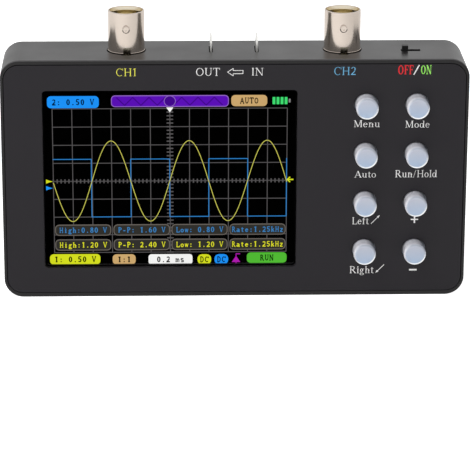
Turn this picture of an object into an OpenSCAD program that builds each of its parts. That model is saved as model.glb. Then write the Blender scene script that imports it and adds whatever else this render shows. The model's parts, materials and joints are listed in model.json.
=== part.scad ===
// Handheld two-channel oscilloscope, standing on its bottom edge.
// Millimetres. X runs left to right, Y from the face to the back, Z upward.
// Depths below are measured from the face plane; from_face() puts that plane in place.

/* [Housing] */
// Housing's left side to the window
left_margin = 10.65; // [10.6:0.05:16]
// Window to the axis of the first button column
buttons_gap = 17.74; // [17.6:0.02:24]
// Axis of the second button column to the housing's right side
right_margin = 13.39; // [13:0.01:18]
// Housing's top and bottom to the window
window_margin = 8.05; // [8:0.05:12]
// Depth of the housing, from the face to the back
body_t = 20.3; // [19:0.05:26]
// Radius of the four upright corners, seen from the front
corner_r = 5; // [4.5:0.1:8]
// Thickness of the side walls
wall_t = 2; // [1.8:0.1:2.4]
// Thickness of the back wall
back_wall_t = 1.75; // [1.5:0.05:1.8]
// Rounding of the front edge
front_fillet = 0.45; // [0.3:0.05:0.6]
// Rounding of the back edge
back_fillet = 0.5; // [0.3:0.1:1.7]
// Width of the side lips beside the face plate
lip_side = 0.75; // [0.7:0.05:1]
// Width of the top and bottom lips beside the face plate
lip_top = 1.1; // [0.8:0.05:1.2]
// Open seam between the lips and the face plate
seam = 0.22; // [0.1:0.02:0.3]

/* [Face plate] */
// Thickness of the face plate
plate_t = 1.8; // [1.7:0.1:2.2]
// Depth of the skirt that centres the plate in the back cover
skirt_h = 1.5; // [1:0.1:2]
// Thickness of that skirt
skirt_t = 0.8; // [0.6:0.1:1]
// Play between the skirt and the wall it slides into
skirt_gap = 0.15; // [0.1:0.05:0.25]
// Width of the window in the plate
window_w = 65.8; // [65:0.1:68]
// Height of the window in the plate
window_h = 48; // [47.5:0.1:50]
// Radius of the window's corners
window_r = 1.1; // [0.8:0.1:2]
// Width of the ledge that carries the window pane
ledge_w = 0.4; // [0.3:0.05:0.6]
// Thickness of the window pane
pane_t = 1; // [0.8:0.1:1.2]
// How far the pane lies below the face
pane_sunk = 0.05; // [0.02:0.01:0.1]
// Play round the pane
pane_gap = 0.06; // [0.04:0.01:0.1]

/* [Display] */
// How far the display module reaches past the window on the left
lcd_border_left = 2.3; // [2:0.1:2.5]
// How far it reaches past the window on the right, where its driver sits
lcd_border_right = 9.6; // [9:0.1:10]
// How far it reaches past the window at the top and bottom
lcd_border_z = 3.52; // [3:0.02:3.8]
// Thickness of the glass
glass_t = 1; // [0.8:0.1:1.1]
// Thickness of the backlight tray behind the glass
tray_t = 1.4; // [1.3:0.1:1.6]
// Width of the tray's rim round the glass
tray_rim = 0.5; // [0.4:0.05:0.7]
// Thickness of the dust gasket in front of the glass
gasket_t = 0.3; // [0.2:0.05:0.5]
// Width of the gasket's strip
gasket_w = 1.6; // [1:0.1:2]
// Thickness of the foam between the tray and the board
foam_t = 1.9; // [1.8:0.1:2.3]
// Width of each foam strip
foam_w = 6; // [4:0.5:8]
// Thickness of the ribbon cable
ribbon_t = 0.2; // [0.15:0.01:0.3]
// Width of the ribbon cable
ribbon_w = 34; // [28:1:38]
// Depth of the ribbon's connector
connector_w = 3.2; // [2.8:0.1:4]
// Height of that connector
connector_h = 1; // [0.8:0.1:1.4]

/* [Board] */
// Thickness of the circuit board
board_t = 1.6; // [1.2:0.1:1.6]
// Play between the board and the side walls
board_gap = 0.7; // [0.4:0.05:0.9]
// Distance from the top wall down to the board's top edge
board_drop = 1.7; // [1.5:0.05:2]

/* [Buttons] */
// Distance between the two columns
column_pitch = 13.12; // [13:0.01:13.6]
// Distance between two rows
row_pitch = 13.15; // [12:0.05:13.5]
// Height of the rows' centre above the middle of the housing
rows_up = 0.16; // [-0.5:0.02:0.5]
// Diameter of a button cap
cap_d = 5.82; // [5.2:0.02:5.9]
// How far a cap stands out of the face
cap_out = 4; // [2.5:0.1:4.5]
// Rounding of a cap's front edge
cap_edge = 0.75; // [0.3:0.05:1]
// Thickness of the cap's front
cap_front_t = 1.2; // [1:0.1:1.5]
// Play round a cap in its hole
cap_gap = 0.24; // [0.2:0.02:0.35]
// How far the flange reaches past the hole
flange_reach = 0.5; // [0.4:0.05:0.7]
// Travel of a button
press_travel = 0.25; // [0.2:0.01:0.35]
// Side length of a switch body
tact_w = 6; // [5.8:0.1:6.2]
// Height of a switch body above the board
tact_h = 3.5; // [3.3:0.05:3.6]
// Thickness of a switch's steel cover
tact_cover_t = 0.25; // [0.2:0.01:0.3]
// Diameter of a switch stem
stem_d = 3.4; // [3.2:0.05:3.5]
// Play round a stem
stem_gap = 0.15; // [0.1:0.01:0.2]

/* [Input jacks] */
// Sideways place of the left jack
jack_left_x = -27.95; // [-29:0.05:-26]
// Sideways place of the right jack
jack_right_x = 28.05; // [26:0.05:30]
// Depth of the jacks' axes behind the face
jack_y = 10.9; // [10.8:0.05:12]
// Outer diameter of the barrel
barrel_d = 9.5; // [9.4:0.02:9.7]
// Height of the barrel above the top wall
barrel_up = 10.6; // [10:0.1:12]
// Bore of the barrel's mouth
mouth_d = 8.3; // [8:0.02:8.4]
// Depth of the mouth's bore
mouth_depth = 8.4; // [7:0.1:9]
// Diameter of a bayonet lug
lug_d = 1.95; // [1.7:0.05:2.2]
// Distance across the tips of the lugs
lug_span = 11; // [10.8:0.05:11.2]
// Distance from the rim down to the lugs' centre
lug_drop = 4.05; // [3.9:0.05:5]
// Diameter of the insulator
insulator_d = 4.8; // [4.4:0.1:5]
// Distance from the rim down to the insulator
insulator_drop = 3.3; // [3:0.1:4]
// Outer diameter of the centre contact
contact_d = 2.1; // [1.8:0.05:2.3]
// Bore of the centre contact
contact_bore = 1.35; // [1.2:0.05:1.5]
// Play between a barrel and the housing
jack_gap = 0.3; // [0.26:0.02:0.5]
// How much further the jack's hole reaches in front of the barrel
front_play = 0.6; // [0.3:0.05:0.8]
// Width of a jack's base block
block_w = 10.4; // [10:0.1:12]
// Height of a jack's base block
block_h = 6.9; // [6:0.1:7.5]

/* [Signal tabs] */
// Sideways place of the output tab
tab_out_x = -6.05; // [-8:0.05:-4]
// Sideways place of the input tab
tab_in_x = 5.8; // [4:0.05:8]
// Thickness of a tab
tab_t = 0.5; // [0.4:0.05:0.8]
// Depth of a tab, front edge to back edge
tab_w = 6; // [5:0.1:6.5]
// Height of a tab above the top wall
tab_up = 4; // [3:0.1:5]
// Diameter of the hole in a tab
tab_hole_d = 1.2; // [0.8:0.1:1.6]
// Play round a tab in its slot
tab_gap = 0.25; // [0.2:0.05:0.3]

/* [Power switch] */
// Distance of the switch's centre from the housing's right side
switch_in = 14.6; // [14.3:0.05:15.2]
// Length of the slot in the top wall
slot_w = 5.05; // [4.8:0.05:5.2]
// Width of the sliding knob
knob_w = 1.55; // [1.4:0.05:1.6]
// Height of the knob above the top wall
knob_up = 1.35; // [1:0.05:2]
// Thickness of the knob
knob_t = 1.5; // [1.3:0.05:1.55]
// Travel of the knob
slide_travel = 3; // [2.8:0.05:3.05]
// Length of the switch's steel case
case_w = 8.6; // [8.6:0.1:9.4]
// Thickness of the switch's case
case_t = 2.2; // [2.2:0.05:2.6]
// Height of the switch's case
case_h = 3.6; // [3.2:0.1:3.8]
// Thickness of the case's sheet
sheet_t = 0.3; // [0.25:0.01:0.32]

/* [Charging port] */
// Height of the port's centre above the base
port_z = 18; // [16:0.5:24]
// Width of the port's shell
port_w = 8.94; // [8.8:0.02:9.1]
// Thickness of the port's shell
port_h = 3.26; // [3.1:0.02:3.3]
// Length of the port's shell
port_l = 7.3; // [7:0.1:8]
// Sheet thickness of the port's shell
port_sheet = 0.3; // [0.25:0.01:0.32]
// How far the shell's mouth lies inside the side wall's outer face
port_sunk = 0.75; // [0.5:0.05:1]
// Play between the shell and the housing
port_gap = 0.28; // [0.2:0.02:0.4]
// Thickness of the port's tongue
tongue_t = 0.7; // [0.6:0.02:0.8]

/* [Battery] */
// Length of the cell
cell_w = 50; // [44:1:52]
// Height of the cell
cell_h = 34; // [28:1:35]
// Thickness of the cell
cell_t = 6.5; // [5:0.1:6.6]
// Distance from the housing's left side to the cell
cell_in = 10.35; // [10:0.05:12]
// Distance from the bottom wall up to the cell
cell_up = 4; // [3:0.1:5]
// Thickness of the tape behind the cell
tape_t = 0.3; // [0.2:0.05:0.4]
// Diameter of a battery wire
wire_d = 1.2; // [1:0.1:1.4]
// Distance between the two wires
wire_pitch = 2; // [1.8:0.1:2.5]
// Length of a wire between the cell and its bend
wire_out = 2; // [1:0.1:4]
// Radius of a wire's bend
wire_bend = 2.2; // [1.5:0.1:3]
// Height of the battery plug
plug_h = 4; // [3:0.1:5]
// Width of the battery plug
plug_w = 6; // [5.6:0.1:6.5]
// Thickness of the battery plug
plug_t = 4.5; // [4:0.1:5]

/* [Board parts] */
// Side of the processor
processor_w = 10; // [9:0.5:12]
// Thickness of the processor
processor_t = 1.4; // [1:0.1:1.6]
// Width of a sampler chip
sampler_w = 5; // [4:0.1:6]
// Height of a sampler chip
sampler_h = 7; // [6:0.1:8]
// Thickness of the smaller chips
chip_t = 1.3; // [1:0.1:1.6]
// Width of an amplifier chip
amplifier_w = 4; // [3.5:0.1:4.4]
// Height of an amplifier chip
amplifier_h = 5; // [4:0.1:5.5]
// Width of an input relay
relay_w = 5.5; // [5:0.1:6]
// Height of an input relay
relay_h = 9; // [8:0.1:10]
// Thickness of an input relay
relay_t = 5; // [4:0.1:6]
// Width of a trim capacitor
trim_w = 3; // [2.5:0.1:3.4]
// Height of a trim capacitor
trim_h = 3.4; // [3:0.1:4]
// Width of the crystal
crystal_w = 3.2; // [2.5:0.1:4]
// Height of the crystal
crystal_h = 5; // [3.2:0.1:6]
// Thickness of the crystal
crystal_t = 1; // [0.8:0.1:1.4]
// Side of the power coil
coil_w = 6; // [5:0.1:7]
// Thickness of the power coil
coil_t = 2.8; // [2:0.1:3.2]
// Width of a small part
small_w = 1.6; // [1:0.1:2]
// Height of a small part
small_h = 0.8; // [0.5:0.1:1]
// Distance between small parts
small_pitch = 3; // [2.6:0.1:3.2]

/* [Screws] */
// Distance of a case screw from the side
screw_in_x = 5.55; // [5.3:0.05:5.7]
// Distance of a case screw from the top or bottom
screw_in_z = 6; // [5.8:0.1:6.4]
// Diameter of a case screw
screw_d = 2.3; // [2:0.05:2.6]
// Diameter of a case screw's head
head_d = 4.2; // [3.8:0.1:4.3]
// Height of a case screw's head
head_h = 1.5; // [1.2:0.1:1.6]
// Depth of the recess over a case screw
recess_depth = 2.6; // [2.2:0.1:3]
// Diameter of a board screw
board_screw_d = 1.9; // [1.8:0.05:2.1]
// Diameter of a board screw's head
board_head_d = 3.6; // [3.2:0.1:3.8]
// Outer diameter of the plate's bosses
boss_d = 4.8; // [4.4:0.1:5]
// Outer diameter of the back cover's posts
post_d = 6; // [5.8:0.1:6.2]

/* [Hidden] */
$fn = 48;
BUTTONS = ["menu", "mode", "auto", "hold", "left", "plus", "right", "minus"];

eps = 0.01;                 // overshoot of a cut past the face it opens
seat = 0.02;                // play of a screw in the hole it is driven into
body_w = left_margin + window_w + buttons_gap + column_pitch + right_margin;
body_h = window_h + 2 * window_margin;
mid_z = body_h / 2;
screen_x = -body_w / 2 + left_margin + window_w / 2;
left_column = screen_x + window_w / 2 + buttons_gap;
face_y = -(body_t + cap_out) / 2 + cap_out;   // depth of the face plane in the part's frame

// depths behind the face, one piece resting on the next
lcd_y = plate_t + gasket_t;
tray_back = lcd_y + glass_t + tray_t;
board_y = tray_back + foam_t;
board_back = board_y + board_t;
inner_back = body_t - back_wall_t;

inner_w = body_w - 2 * wall_t;
inner_h = body_h - 2 * wall_t;
inner_r = corner_r - wall_t;
lip_r = corner_r - (lip_side + lip_top) / 2;
face_w = body_w - 2 * (lip_side + seam);
face_h = body_h - 2 * (lip_top + seam);
face_r = lip_r - seam;

board_w = inner_w - 2 * board_gap;
board_low = wall_t + board_gap;
board_high = body_h - wall_t - board_drop;
board_r = inner_r - board_gap;

lcd_w = window_w + lcd_border_left + lcd_border_right;
lcd_h = window_h + 2 * lcd_border_z;
lcd_x = screen_x + (lcd_border_right - lcd_border_left) / 2;
glass_w = lcd_w - 2 * tray_rim;
glass_h = lcd_h - 2 * tray_rim;
glass_right = lcd_x + glass_w / 2;
view_w = window_w - 2 * ledge_w;
view_h = window_h - 2 * ledge_w;

cap_hole_r = cap_d / 2 + cap_gap;
flange_r = cap_hole_r + flange_reach;
tact_top = board_y - tact_h;
flange_gap = 0.1;           // play in front of the flange at rest and behind it when pressed
flange_y = plate_t + flange_gap;
flange_t = tact_top - flange_gap - press_travel - flange_y;
stem_r = stem_d / 2;
stem_hole_r = stem_r + stem_gap;
stem_sunk = 1.1;            // how far a stem reaches into its switch
stem_tip = cap_front_t - cap_out;
hole_below_stem = 0.35;     // room below a stem, past its travel

rim_z = body_h + barrel_up;
block_top = body_h - wall_t - 1.2;
barrel_r = barrel_d / 2;
jack_hole_r = barrel_r + jack_gap;
collar_up = 0.15;           // how far the barrel's collar stands above the top wall
collar_r = barrel_r + jack_gap / 4;
mouth_z = rim_z - mouth_depth;
insulator_z = rim_z - insulator_drop;
insulator_low = block_top - block_h - 0.5;
post_pin_d = 1.3;           // diameter of a jack's solder post
post_pin_gap = 0.1;
post_pin_x = 3.9;           // distance of a solder post from the jack's axis
post_pin_z = block_top - 3.4;
tail_d = 0.8;               // diameter of the contact's tail
tail_z = insulator_low - 0.9;
pin_out = 0.7;              // how far solder pins stand out of the board's front

tab_foot = 6;               // how far a tab reaches down past the board's top edge
tab_low = board_high - tab_foot;
tab_tail_z = board_high - 0.7 * tab_foot;
tab_tail_h = 1.2;

switch_x = body_w / 2 - switch_in;
case_top = body_h - wall_t - 0.3;
switch_y = board_back + case_t / 2;
knob_x = switch_x - slide_travel / 2;
carriage_w = knob_w + 3;
carriage_gap = 0.1;
base_h = 0.8;
switch_pin_z = case_top - case_h - base_h / 2;
switch_pin_pitch = 2.5;
slot_gap = 0.2;             // play of the knob across the slot

port_x = -body_w / 2 + port_sunk;
port_y = board_back + port_h / 2;
tongue_w = 6.69;
tongue_l = 4.6;
plug_block = 2.2;           // length of the tongue's moulded root

cell_y = inner_back - tape_t - cell_t;
cell_x0 = -body_w / 2 + cell_in;
cell_z0 = wall_t + cell_up;

case_screw_x = body_w / 2 - screw_in_x;
case_screw_z = [screw_in_z, body_h - screw_in_z];
recess_y = body_t - recess_depth;
screw_tip = board_y - 3.5;
board_screw_left = 5.15;    // distance of the left board screw from the housing's side
board_screw_right = 6.15;
board_screw_at = [
    [left_column + column_pitch / 2, mid_z + rows_up + row_pitch],
    [left_column + column_pitch / 2, mid_z + rows_up - row_pitch],
    [-body_w / 2 + board_screw_left, mid_z + row_pitch / 2],
    [body_w / 2 - board_screw_right, mid_z]
];
board_screw_tip = board_y - 3.2;

function column_x(i) = left_column + (i % 2) * column_pitch;
function row_z(i) = mid_z + rows_up + (1.5 - floor(i / 2)) * row_pitch;

// ---- shared shapes ----
module from_face() {
    translate([0, face_y, 0]) children();
}
// a flat outline in X and Z, carried along Y from y0 to y1
module upright(y0, y1) {
    translate([0, y1, 0]) rotate([90, 0, 0]) linear_extrude(y1 - y0) children();
}
module rounded(w, h, r) {
    square([w - 2 * r, h], center = true);
    square([w, h - 2 * r], center = true);
    for (sx = [-1, 1], sz = [-1, 1]) translate([sx * (w / 2 - r), sz * (h / 2 - r)]) circle(r);
}
module rounded_at(x, z, w, h, r) {
    translate([x, z]) rounded(w, h, r);
}
// a round bar along Y
module rod_y(x, z, r, y0, y1) {
    translate([x, y0, z]) rotate([-90, 0, 0]) cylinder(r = r, h = y1 - y0);
}
// a block between two corners
module block(low, high) {
    translate(low) cube(high - low);
}
module case_screw_places() {
    for (sx = [-1, 1], z = case_screw_z) translate([sx * case_screw_x, 0, z]) children();
}
module board_screw_places() {
    for (p = board_screw_at) translate([p[0], 0, p[1]]) children();
}
// the housing's section: reach outward along X, depth along Y, both outer corners rounded
module edge_section(reach) {
    difference() {
        square([reach, body_t]);
        translate([reach - front_fillet, front_fillet]) mirror([0, 1]) spandrel(front_fillet);
        translate([reach - back_fillet, body_t - back_fillet]) spandrel(back_fillet);
    }
}
// what a round of radius r leaves of the square corner outside it
module spandrel(r) {
    difference() {
        square([r + 1, r + 1]);
        circle(r);
    }
}
// the outer form: a core, four straight sides and four turned corners, all of one section
module housing_form() {
    core_w = body_w - 2 * corner_r;
    core_h = body_h - 2 * corner_r;
    translate([0, 0, mid_z]) {
        translate([-core_w / 2, 0, -core_h / 2]) cube([core_w, body_t, core_h]);
        for (side = [0, 1]) mirror([side, 0, 0]) translate([core_w / 2, 0, -core_h / 2])
            linear_extrude(core_h) edge_section(corner_r);
        for (side = [0, 1]) mirror([0, 0, side]) translate([core_w / 2, 0, core_h / 2])
            rotate([0, -90, 0]) linear_extrude(core_w) edge_section(corner_r);
        for (mx = [0, 1], mz = [0, 1]) mirror([mx, 0, 0]) mirror([0, 0, mz])
            translate([core_w / 2, 0, core_h / 2]) rotate([-90, 0, 0]) rotate([0, 0, -90])
                rotate_extrude(angle = 90) edge_section(corner_r);
    }
}

// ---- housing ----
module front_cover() {
    color([0.2, 0.2, 0.21]) from_face() difference() {
        union() {
            upright(0, plate_t) rounded_at(0, mid_z, face_w, face_h, face_r);
            difference() {
                upright(plate_t - eps, plate_t + skirt_h)
                    rounded_at(0, mid_z, inner_w - 2 * skirt_gap, inner_h - 2 * skirt_gap,
                        inner_r - skirt_gap);
                upright(plate_t - 2 * eps, plate_t + skirt_h + eps)
                    rounded_at(0, mid_z, inner_w - 2 * (skirt_gap + skirt_t),
                        inner_h - 2 * (skirt_gap + skirt_t), inner_r - skirt_gap - skirt_t);
            }
            case_screw_places() rod_y(0, 0, boss_d / 2, plate_t - eps, board_y);
            board_screw_places() rod_y(0, 0, boss_d / 2 - 0.4, plate_t - eps, board_y);
        }
        upright(-eps, pane_sunk + pane_t) rounded_at(screen_x, mid_z, window_w, window_h, window_r);
        upright(0, plate_t + eps)
            rounded_at(screen_x, mid_z, view_w, view_h, window_r - ledge_w);
        for (i = [0:7]) rod_y(column_x(i), row_z(i), cap_hole_r, -eps, plate_t + eps);
        case_screw_places() rod_y(0, 0, screw_d / 2 + seat, screw_tip - 0.4, board_y + eps);
        board_screw_places() rod_y(0, 0, board_screw_d / 2 + seat, board_screw_tip - 0.4,
            board_y + eps);
    }
}
module port_outline(grow) {
    r = port_h / 2 + grow;
    square([port_h + 2 * grow, port_w - port_h], center = true);
    for (s = [-1, 1]) translate([0, s * (port_w - port_h) / 2]) circle(r);
}
// the port's outline carried along X from x0 to x1
module port_run(x0, x1, grow) {
    translate([x0, port_y, port_z]) rotate([90, 0, 90]) linear_extrude(x1 - x0) port_outline(grow);
}
module back_cover() {
    color([0.17, 0.17, 0.18]) from_face() difference() {
        union() {
            difference() {
                housing_form();
                upright(-eps, plate_t + eps)
                    rounded_at(0, mid_z, body_w - 2 * lip_side, body_h - 2 * lip_top, lip_r);
                upright(plate_t, inner_back) rounded_at(0, mid_z, inner_w, inner_h, inner_r);
            }
            case_screw_places() rod_y(0, 0, post_d / 2, board_back, inner_back + eps);
            for (z = [cell_z0 - skirt_t - 0.3, cell_z0 + cell_h + 0.3])
                block([cell_x0 + 4, cell_y + 2, z],
                    [cell_x0 + cell_w - 4, inner_back + eps, z + skirt_t]);
        }
        for (x = [jack_left_x, jack_right_x]) {
            for (y = [jack_y - front_play, jack_y]) translate([x, y, body_h - wall_t - eps])
                cylinder(r = jack_hole_r, h = wall_t + 2 * eps);
            block([x - jack_hole_r, jack_y - front_play, body_h - wall_t - eps],
                [x + jack_hole_r, jack_y, body_h + eps]);
            block([x - lug_d / 2 - jack_gap, jack_y - lug_span / 2 - front_play, body_h - wall_t - eps],
                [x + lug_d / 2 + jack_gap, jack_y + lug_span / 2 + jack_gap, body_h + eps]);
        }
        for (x = [tab_out_x, tab_in_x])
            block([x - tab_t / 2 - tab_gap, board_back - tab_gap, body_h - wall_t - eps],
                [x + tab_t / 2 + tab_gap, board_back + tab_w + tab_gap, body_h + eps]);
        block([switch_x - slot_w / 2, switch_y - knob_t / 2 - slot_gap, body_h - wall_t - eps],
            [switch_x + slot_w / 2, switch_y + knob_t / 2 + slot_gap, body_h + eps]);
        port_run(-body_w / 2 - eps, -inner_w / 2 + eps, port_gap);
        case_screw_places() {
            rod_y(0, 0, screw_d / 2 + 0.2, board_back - eps, body_t);
            rod_y(0, 0, head_d / 2 + 0.2, recess_y, body_t + eps);
        }
    }
}
module screen_window() {
    color([0.1, 0.1, 0.12, 0.5]) from_face() upright(pane_sunk, pane_sunk + pane_t)
        rounded_at(screen_x, mid_z, window_w - 2 * pane_gap, window_h - 2 * pane_gap,
            window_r - pane_gap);
}

// ---- display ----
module screen_gasket() {
    color([0.08, 0.08, 0.08]) from_face() upright(plate_t, lcd_y) difference() {
        rounded_at(screen_x, mid_z, window_w + 2 * gasket_w, window_h + 2 * gasket_w, window_r);
        rounded_at(screen_x, mid_z, view_w, view_h, window_r - ledge_w);
    }
}
module lcd_glass() {
    color([0.05, 0.05, 0.06]) from_face() upright(lcd_y, lcd_y + glass_t)
        translate([lcd_x, mid_z]) square([glass_w, glass_h], center = true);
}
module lcd_tray() {
    color([0.85, 0.86, 0.86]) from_face() difference() {
        upright(lcd_y + glass_t / 2, tray_back)
            translate([lcd_x, mid_z]) square([lcd_w, lcd_h], center = true);
        upright(lcd_y, lcd_y + glass_t)
            translate([lcd_x, mid_z]) square([glass_w, glass_h], center = true);
    }
}
module lcd_foam() {
    color([0.12, 0.12, 0.12]) from_face() for (z = [wall_t + foam_w, board_high - 2.7 * foam_w])
        block([lcd_x - lcd_w / 2 + foam_w, tray_back, z],
            [ribbon_end - connector_w - foam_w, board_y, z + foam_w]);
}
// ribbon: out of the glass, round the tray's end and back along the board
ribbon_top = lcd_y + glass_t / 2 - ribbon_t;
ribbon_bend_r = (board_y - ribbon_top) / 2;
ribbon_out = tray_rim + 0.2;   // straight stretch before the bend
ribbon_back = 14.5;            // how far the ribbon runs back along the board
ribbon_end = lcd_x + lcd_w / 2 - ribbon_back;
module lcd_ribbon() {
    color([0.75, 0.45, 0.12]) from_face() translate([0, 0, mid_z - ribbon_w / 2])
        linear_extrude(ribbon_w) {
            translate([glass_right, ribbon_top]) square([ribbon_out, ribbon_t]);
            translate([glass_right + ribbon_out, ribbon_top + ribbon_bend_r]) difference() {
                circle(ribbon_bend_r);
                circle(ribbon_bend_r - ribbon_t);
                translate([-2 * ribbon_bend_r, -2 * ribbon_bend_r])
                    square([2 * ribbon_bend_r, 4 * ribbon_bend_r]);
            }
            translate([ribbon_end, board_y - ribbon_t])
                square([glass_right + ribbon_out - ribbon_end, ribbon_t]);
        }
}
module ribbon_connector() {
    color([0.9, 0.88, 0.82]) from_face()
        block([ribbon_end - connector_w, board_y - connector_h, mid_z - ribbon_w / 2 - connector_h],
            [ribbon_end, board_y, mid_z + ribbon_w / 2 + connector_h]);
}

// ---- board ----
module main_board() {
    color([0.05, 0.3, 0.16]) from_face() difference() {
        upright(board_y, board_back)
            rounded_at(0, (board_low + board_high) / 2, board_w, board_high - board_low, board_r);
        case_screw_places() rod_y(0, 0, screw_d / 2 + 0.2, board_y - eps, board_back + eps);
        board_screw_places() rod_y(0, 0, board_screw_d / 2 + 0.15, board_y - eps, board_back + eps);
        for (x = [jack_left_x, jack_right_x]) {
            rod_y(x, tail_z, tail_d / 2 + post_pin_gap, board_y - eps, board_back + eps);
            for (s = [-1, 1]) rod_y(x + s * post_pin_x, post_pin_z, post_pin_d / 2 + post_pin_gap,
                board_y - eps, board_back + eps);
        }
        for (x = [tab_out_x, tab_in_x])
            block([x - tab_t / 2 - 0.15, board_y - eps, tab_tail_z - 0.15],
                [x + tab_t / 2 + 0.15, board_back + eps, tab_tail_z + tab_tail_h + 0.15]);
        for (s = [-1, 0, 1]) rod_y(switch_x + s * switch_pin_pitch, switch_pin_z, 0.4,
            board_y - eps, board_back + eps);
    }
}

// ---- buttons ----
module button_cap(i) {
    color([0.75, 0.79, 0.86]) from_face() translate([column_x(i), 0, row_z(i)]) rotate([90, 0, 0])
        rotate_extrude() difference() {
            union() {
                translate([0, -flange_y - flange_t]) square([flange_r, flange_t]);
                translate([0, -flange_y - flange_t])
                    square([cap_d / 2, cap_out + flange_y + flange_t - cap_edge]);
                translate([0, 0]) square([cap_d / 2 - cap_edge, cap_out]);
                translate([cap_d / 2 - cap_edge, cap_out - cap_edge]) intersection() {
                    circle(cap_edge);
                    translate([-cap_edge, 0]) square([2 * cap_edge, cap_edge]);
                }
            }
            translate([0, -flange_y - flange_t - eps])
                square([stem_r + seat, cap_out - cap_front_t + flange_y + flange_t + eps]);
        }
}
module button_stem(i) {
    color([0.12, 0.12, 0.12]) from_face()
        rod_y(column_x(i), row_z(i), stem_r, stem_tip, tact_top + stem_sunk);
}
module tact_bodies() {
    color([0.1, 0.1, 0.1]) from_face() for (i = [0:7]) difference() {
        block([column_x(i) - tact_w / 2, tact_top + tact_cover_t, row_z(i) - tact_w / 2],
            [column_x(i) + tact_w / 2, board_y, row_z(i) + tact_w / 2]);
        rod_y(column_x(i), row_z(i), stem_hole_r, tact_top,
            tact_top + stem_sunk + press_travel + hole_below_stem);
    }
}
module tact_covers() {
    color([0.75, 0.75, 0.76]) from_face() for (i = [0:7]) difference() {
        block([column_x(i) - tact_w / 2, tact_top, row_z(i) - tact_w / 2],
            [column_x(i) + tact_w / 2, tact_top + tact_cover_t, row_z(i) + tact_w / 2]);
        rod_y(column_x(i), row_z(i), stem_hole_r, tact_top - eps, tact_top + tact_cover_t + eps);
    }
}

// ---- input jacks ----
rim_chamfer = 0.12;         // bevel of the rim's outer edge
entry_reach = 0.2;          // how much wider the mouth is at the rim
entry_h = 1;                // height of that widening
lug_bevel = 0.25;           // bevel of a lug's tip
notch_w = 1.9;              // locating notch in the front of the barrel's foot
notch_h = 1.6;
notch_in = 1.5;
notch_low = 1;              // how far the notch reaches down into the housing
lug_dimple_d = 0.6;         // centre mark in a lug's tip
lug_dimple_h = 0.25;
notch_x = 0.2;
module jack_shell(x) {
    color([0.76, 0.72, 0.66]) from_face() translate([x, jack_y, 0]) {
        difference() {
            union() {
                translate([-block_w / 2, board_back - jack_y, block_top - block_h])
                    cube([block_w, 2 * (jack_y - board_back), block_h]);
                rotate_extrude() polygon([
                    [0, block_top - eps], [barrel_r, block_top - eps], [barrel_r, body_h - 1.2],
                    [collar_r, body_h - 1.2], [collar_r, body_h + collar_up],
                    [barrel_r, body_h + collar_up + collar_r - barrel_r],
                    [barrel_r, rim_z - rim_chamfer], [barrel_r - rim_chamfer, rim_z], [0, rim_z]
                ]);
                for (s = [-1, 1]) translate([0, 0, rim_z - lug_drop]) rotate([s * 90, 0, 0]) {
                    translate([0, 0, mouth_d / 2 + 0.2])
                        cylinder(d = lug_d, h = (lug_span - mouth_d) / 2 - 0.2 - lug_bevel);
                    translate([0, 0, lug_span / 2 - lug_bevel])
                        cylinder(d1 = lug_d, d2 = lug_d - 2 * lug_bevel, h = lug_bevel);
                }
                for (s = [-1, 1]) translate([s * post_pin_x, board_y - pin_out - jack_y, post_pin_z])
                    rotate([-90, 0, 0]) cylinder(d = post_pin_d, h = board_t + pin_out + eps);
            }
            translate([0, 0, mouth_z]) cylinder(d = mouth_d, h = mouth_depth + eps);
            translate([0, 0, rim_z - entry_h]) cylinder(r1 = mouth_d / 2,
                r2 = mouth_d / 2 + entry_reach, h = entry_h + eps);
            translate([0, 0, block_top - block_h - eps])
                cylinder(d = insulator_d + 2 * seat, h = rim_z);
            translate([notch_x - notch_w / 2, -barrel_r - 1, body_h - notch_low])
                cube([notch_w, 1 + notch_in, notch_h + notch_low]);
            for (s = [-1, 1]) translate([0, 0, rim_z - lug_drop]) rotate([s * 90, 0, 0])
                translate([0, 0, lug_span / 2 - lug_dimple_h])
                    cylinder(d = lug_dimple_d, h = lug_dimple_h + eps);
        }
    }
}
module jack_insulator(x) {
    color([0.9, 0.87, 0.78]) from_face() translate([x, jack_y, 0]) difference() {
        translate([0, 0, insulator_low]) cylinder(d = insulator_d, h = insulator_z - insulator_low);
        translate([0, 0, insulator_low - eps])
            cylinder(d = contact_d + 2 * seat, h = insulator_z - insulator_low + 2 * eps);
    }
}
module jack_contact(x) {
    slit_w = 0.25;
    socket_depth = 5;
    low = tail_z - tail_d;
    color([0.85, 0.68, 0.35]) from_face() translate([x, jack_y, 0]) {
        difference() {
            translate([0, 0, low]) cylinder(d = contact_d, h = insulator_z - 0.2 - low);
            translate([0, 0, insulator_z - 0.2 - socket_depth])
                cylinder(d = contact_bore, h = socket_depth + eps);
            translate([-slit_w / 2, -contact_d, insulator_z - 0.2 - socket_depth * 0.8])
                cube([slit_w, 2 * contact_d, socket_depth]);
        }
        translate([0, board_y - pin_out - jack_y, tail_z]) rotate([-90, 0, 0])
            cylinder(d = tail_d, h = jack_y - board_y + pin_out);
    }
}

// ---- signal tabs ----
module signal_tab(x) {
    tip_r = 1.6;
    color([0.78, 0.77, 0.74]) from_face() translate([x - tab_t / 2, board_back, 0])
        rotate([90, 0, 90]) linear_extrude(tab_t) difference() {
            union() {
                translate([0, tab_low]) square([tab_w, body_h + tab_up - tip_r - tab_low]);
                translate([tip_r, body_h + tab_up - 2 * tip_r]) square([tab_w - 2 * tip_r, 2 * tip_r]);
                for (y = [tip_r, tab_w - tip_r])
                    translate([y, body_h + tab_up - tip_r]) circle(tip_r);
                translate([-board_t - pin_out, tab_tail_z]) square([board_t + pin_out + 0.5, tab_tail_h]);
            }
            translate([tab_w / 2, body_h + tab_up - 1.7]) circle(d = tab_hole_d);
        }
}

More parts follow.
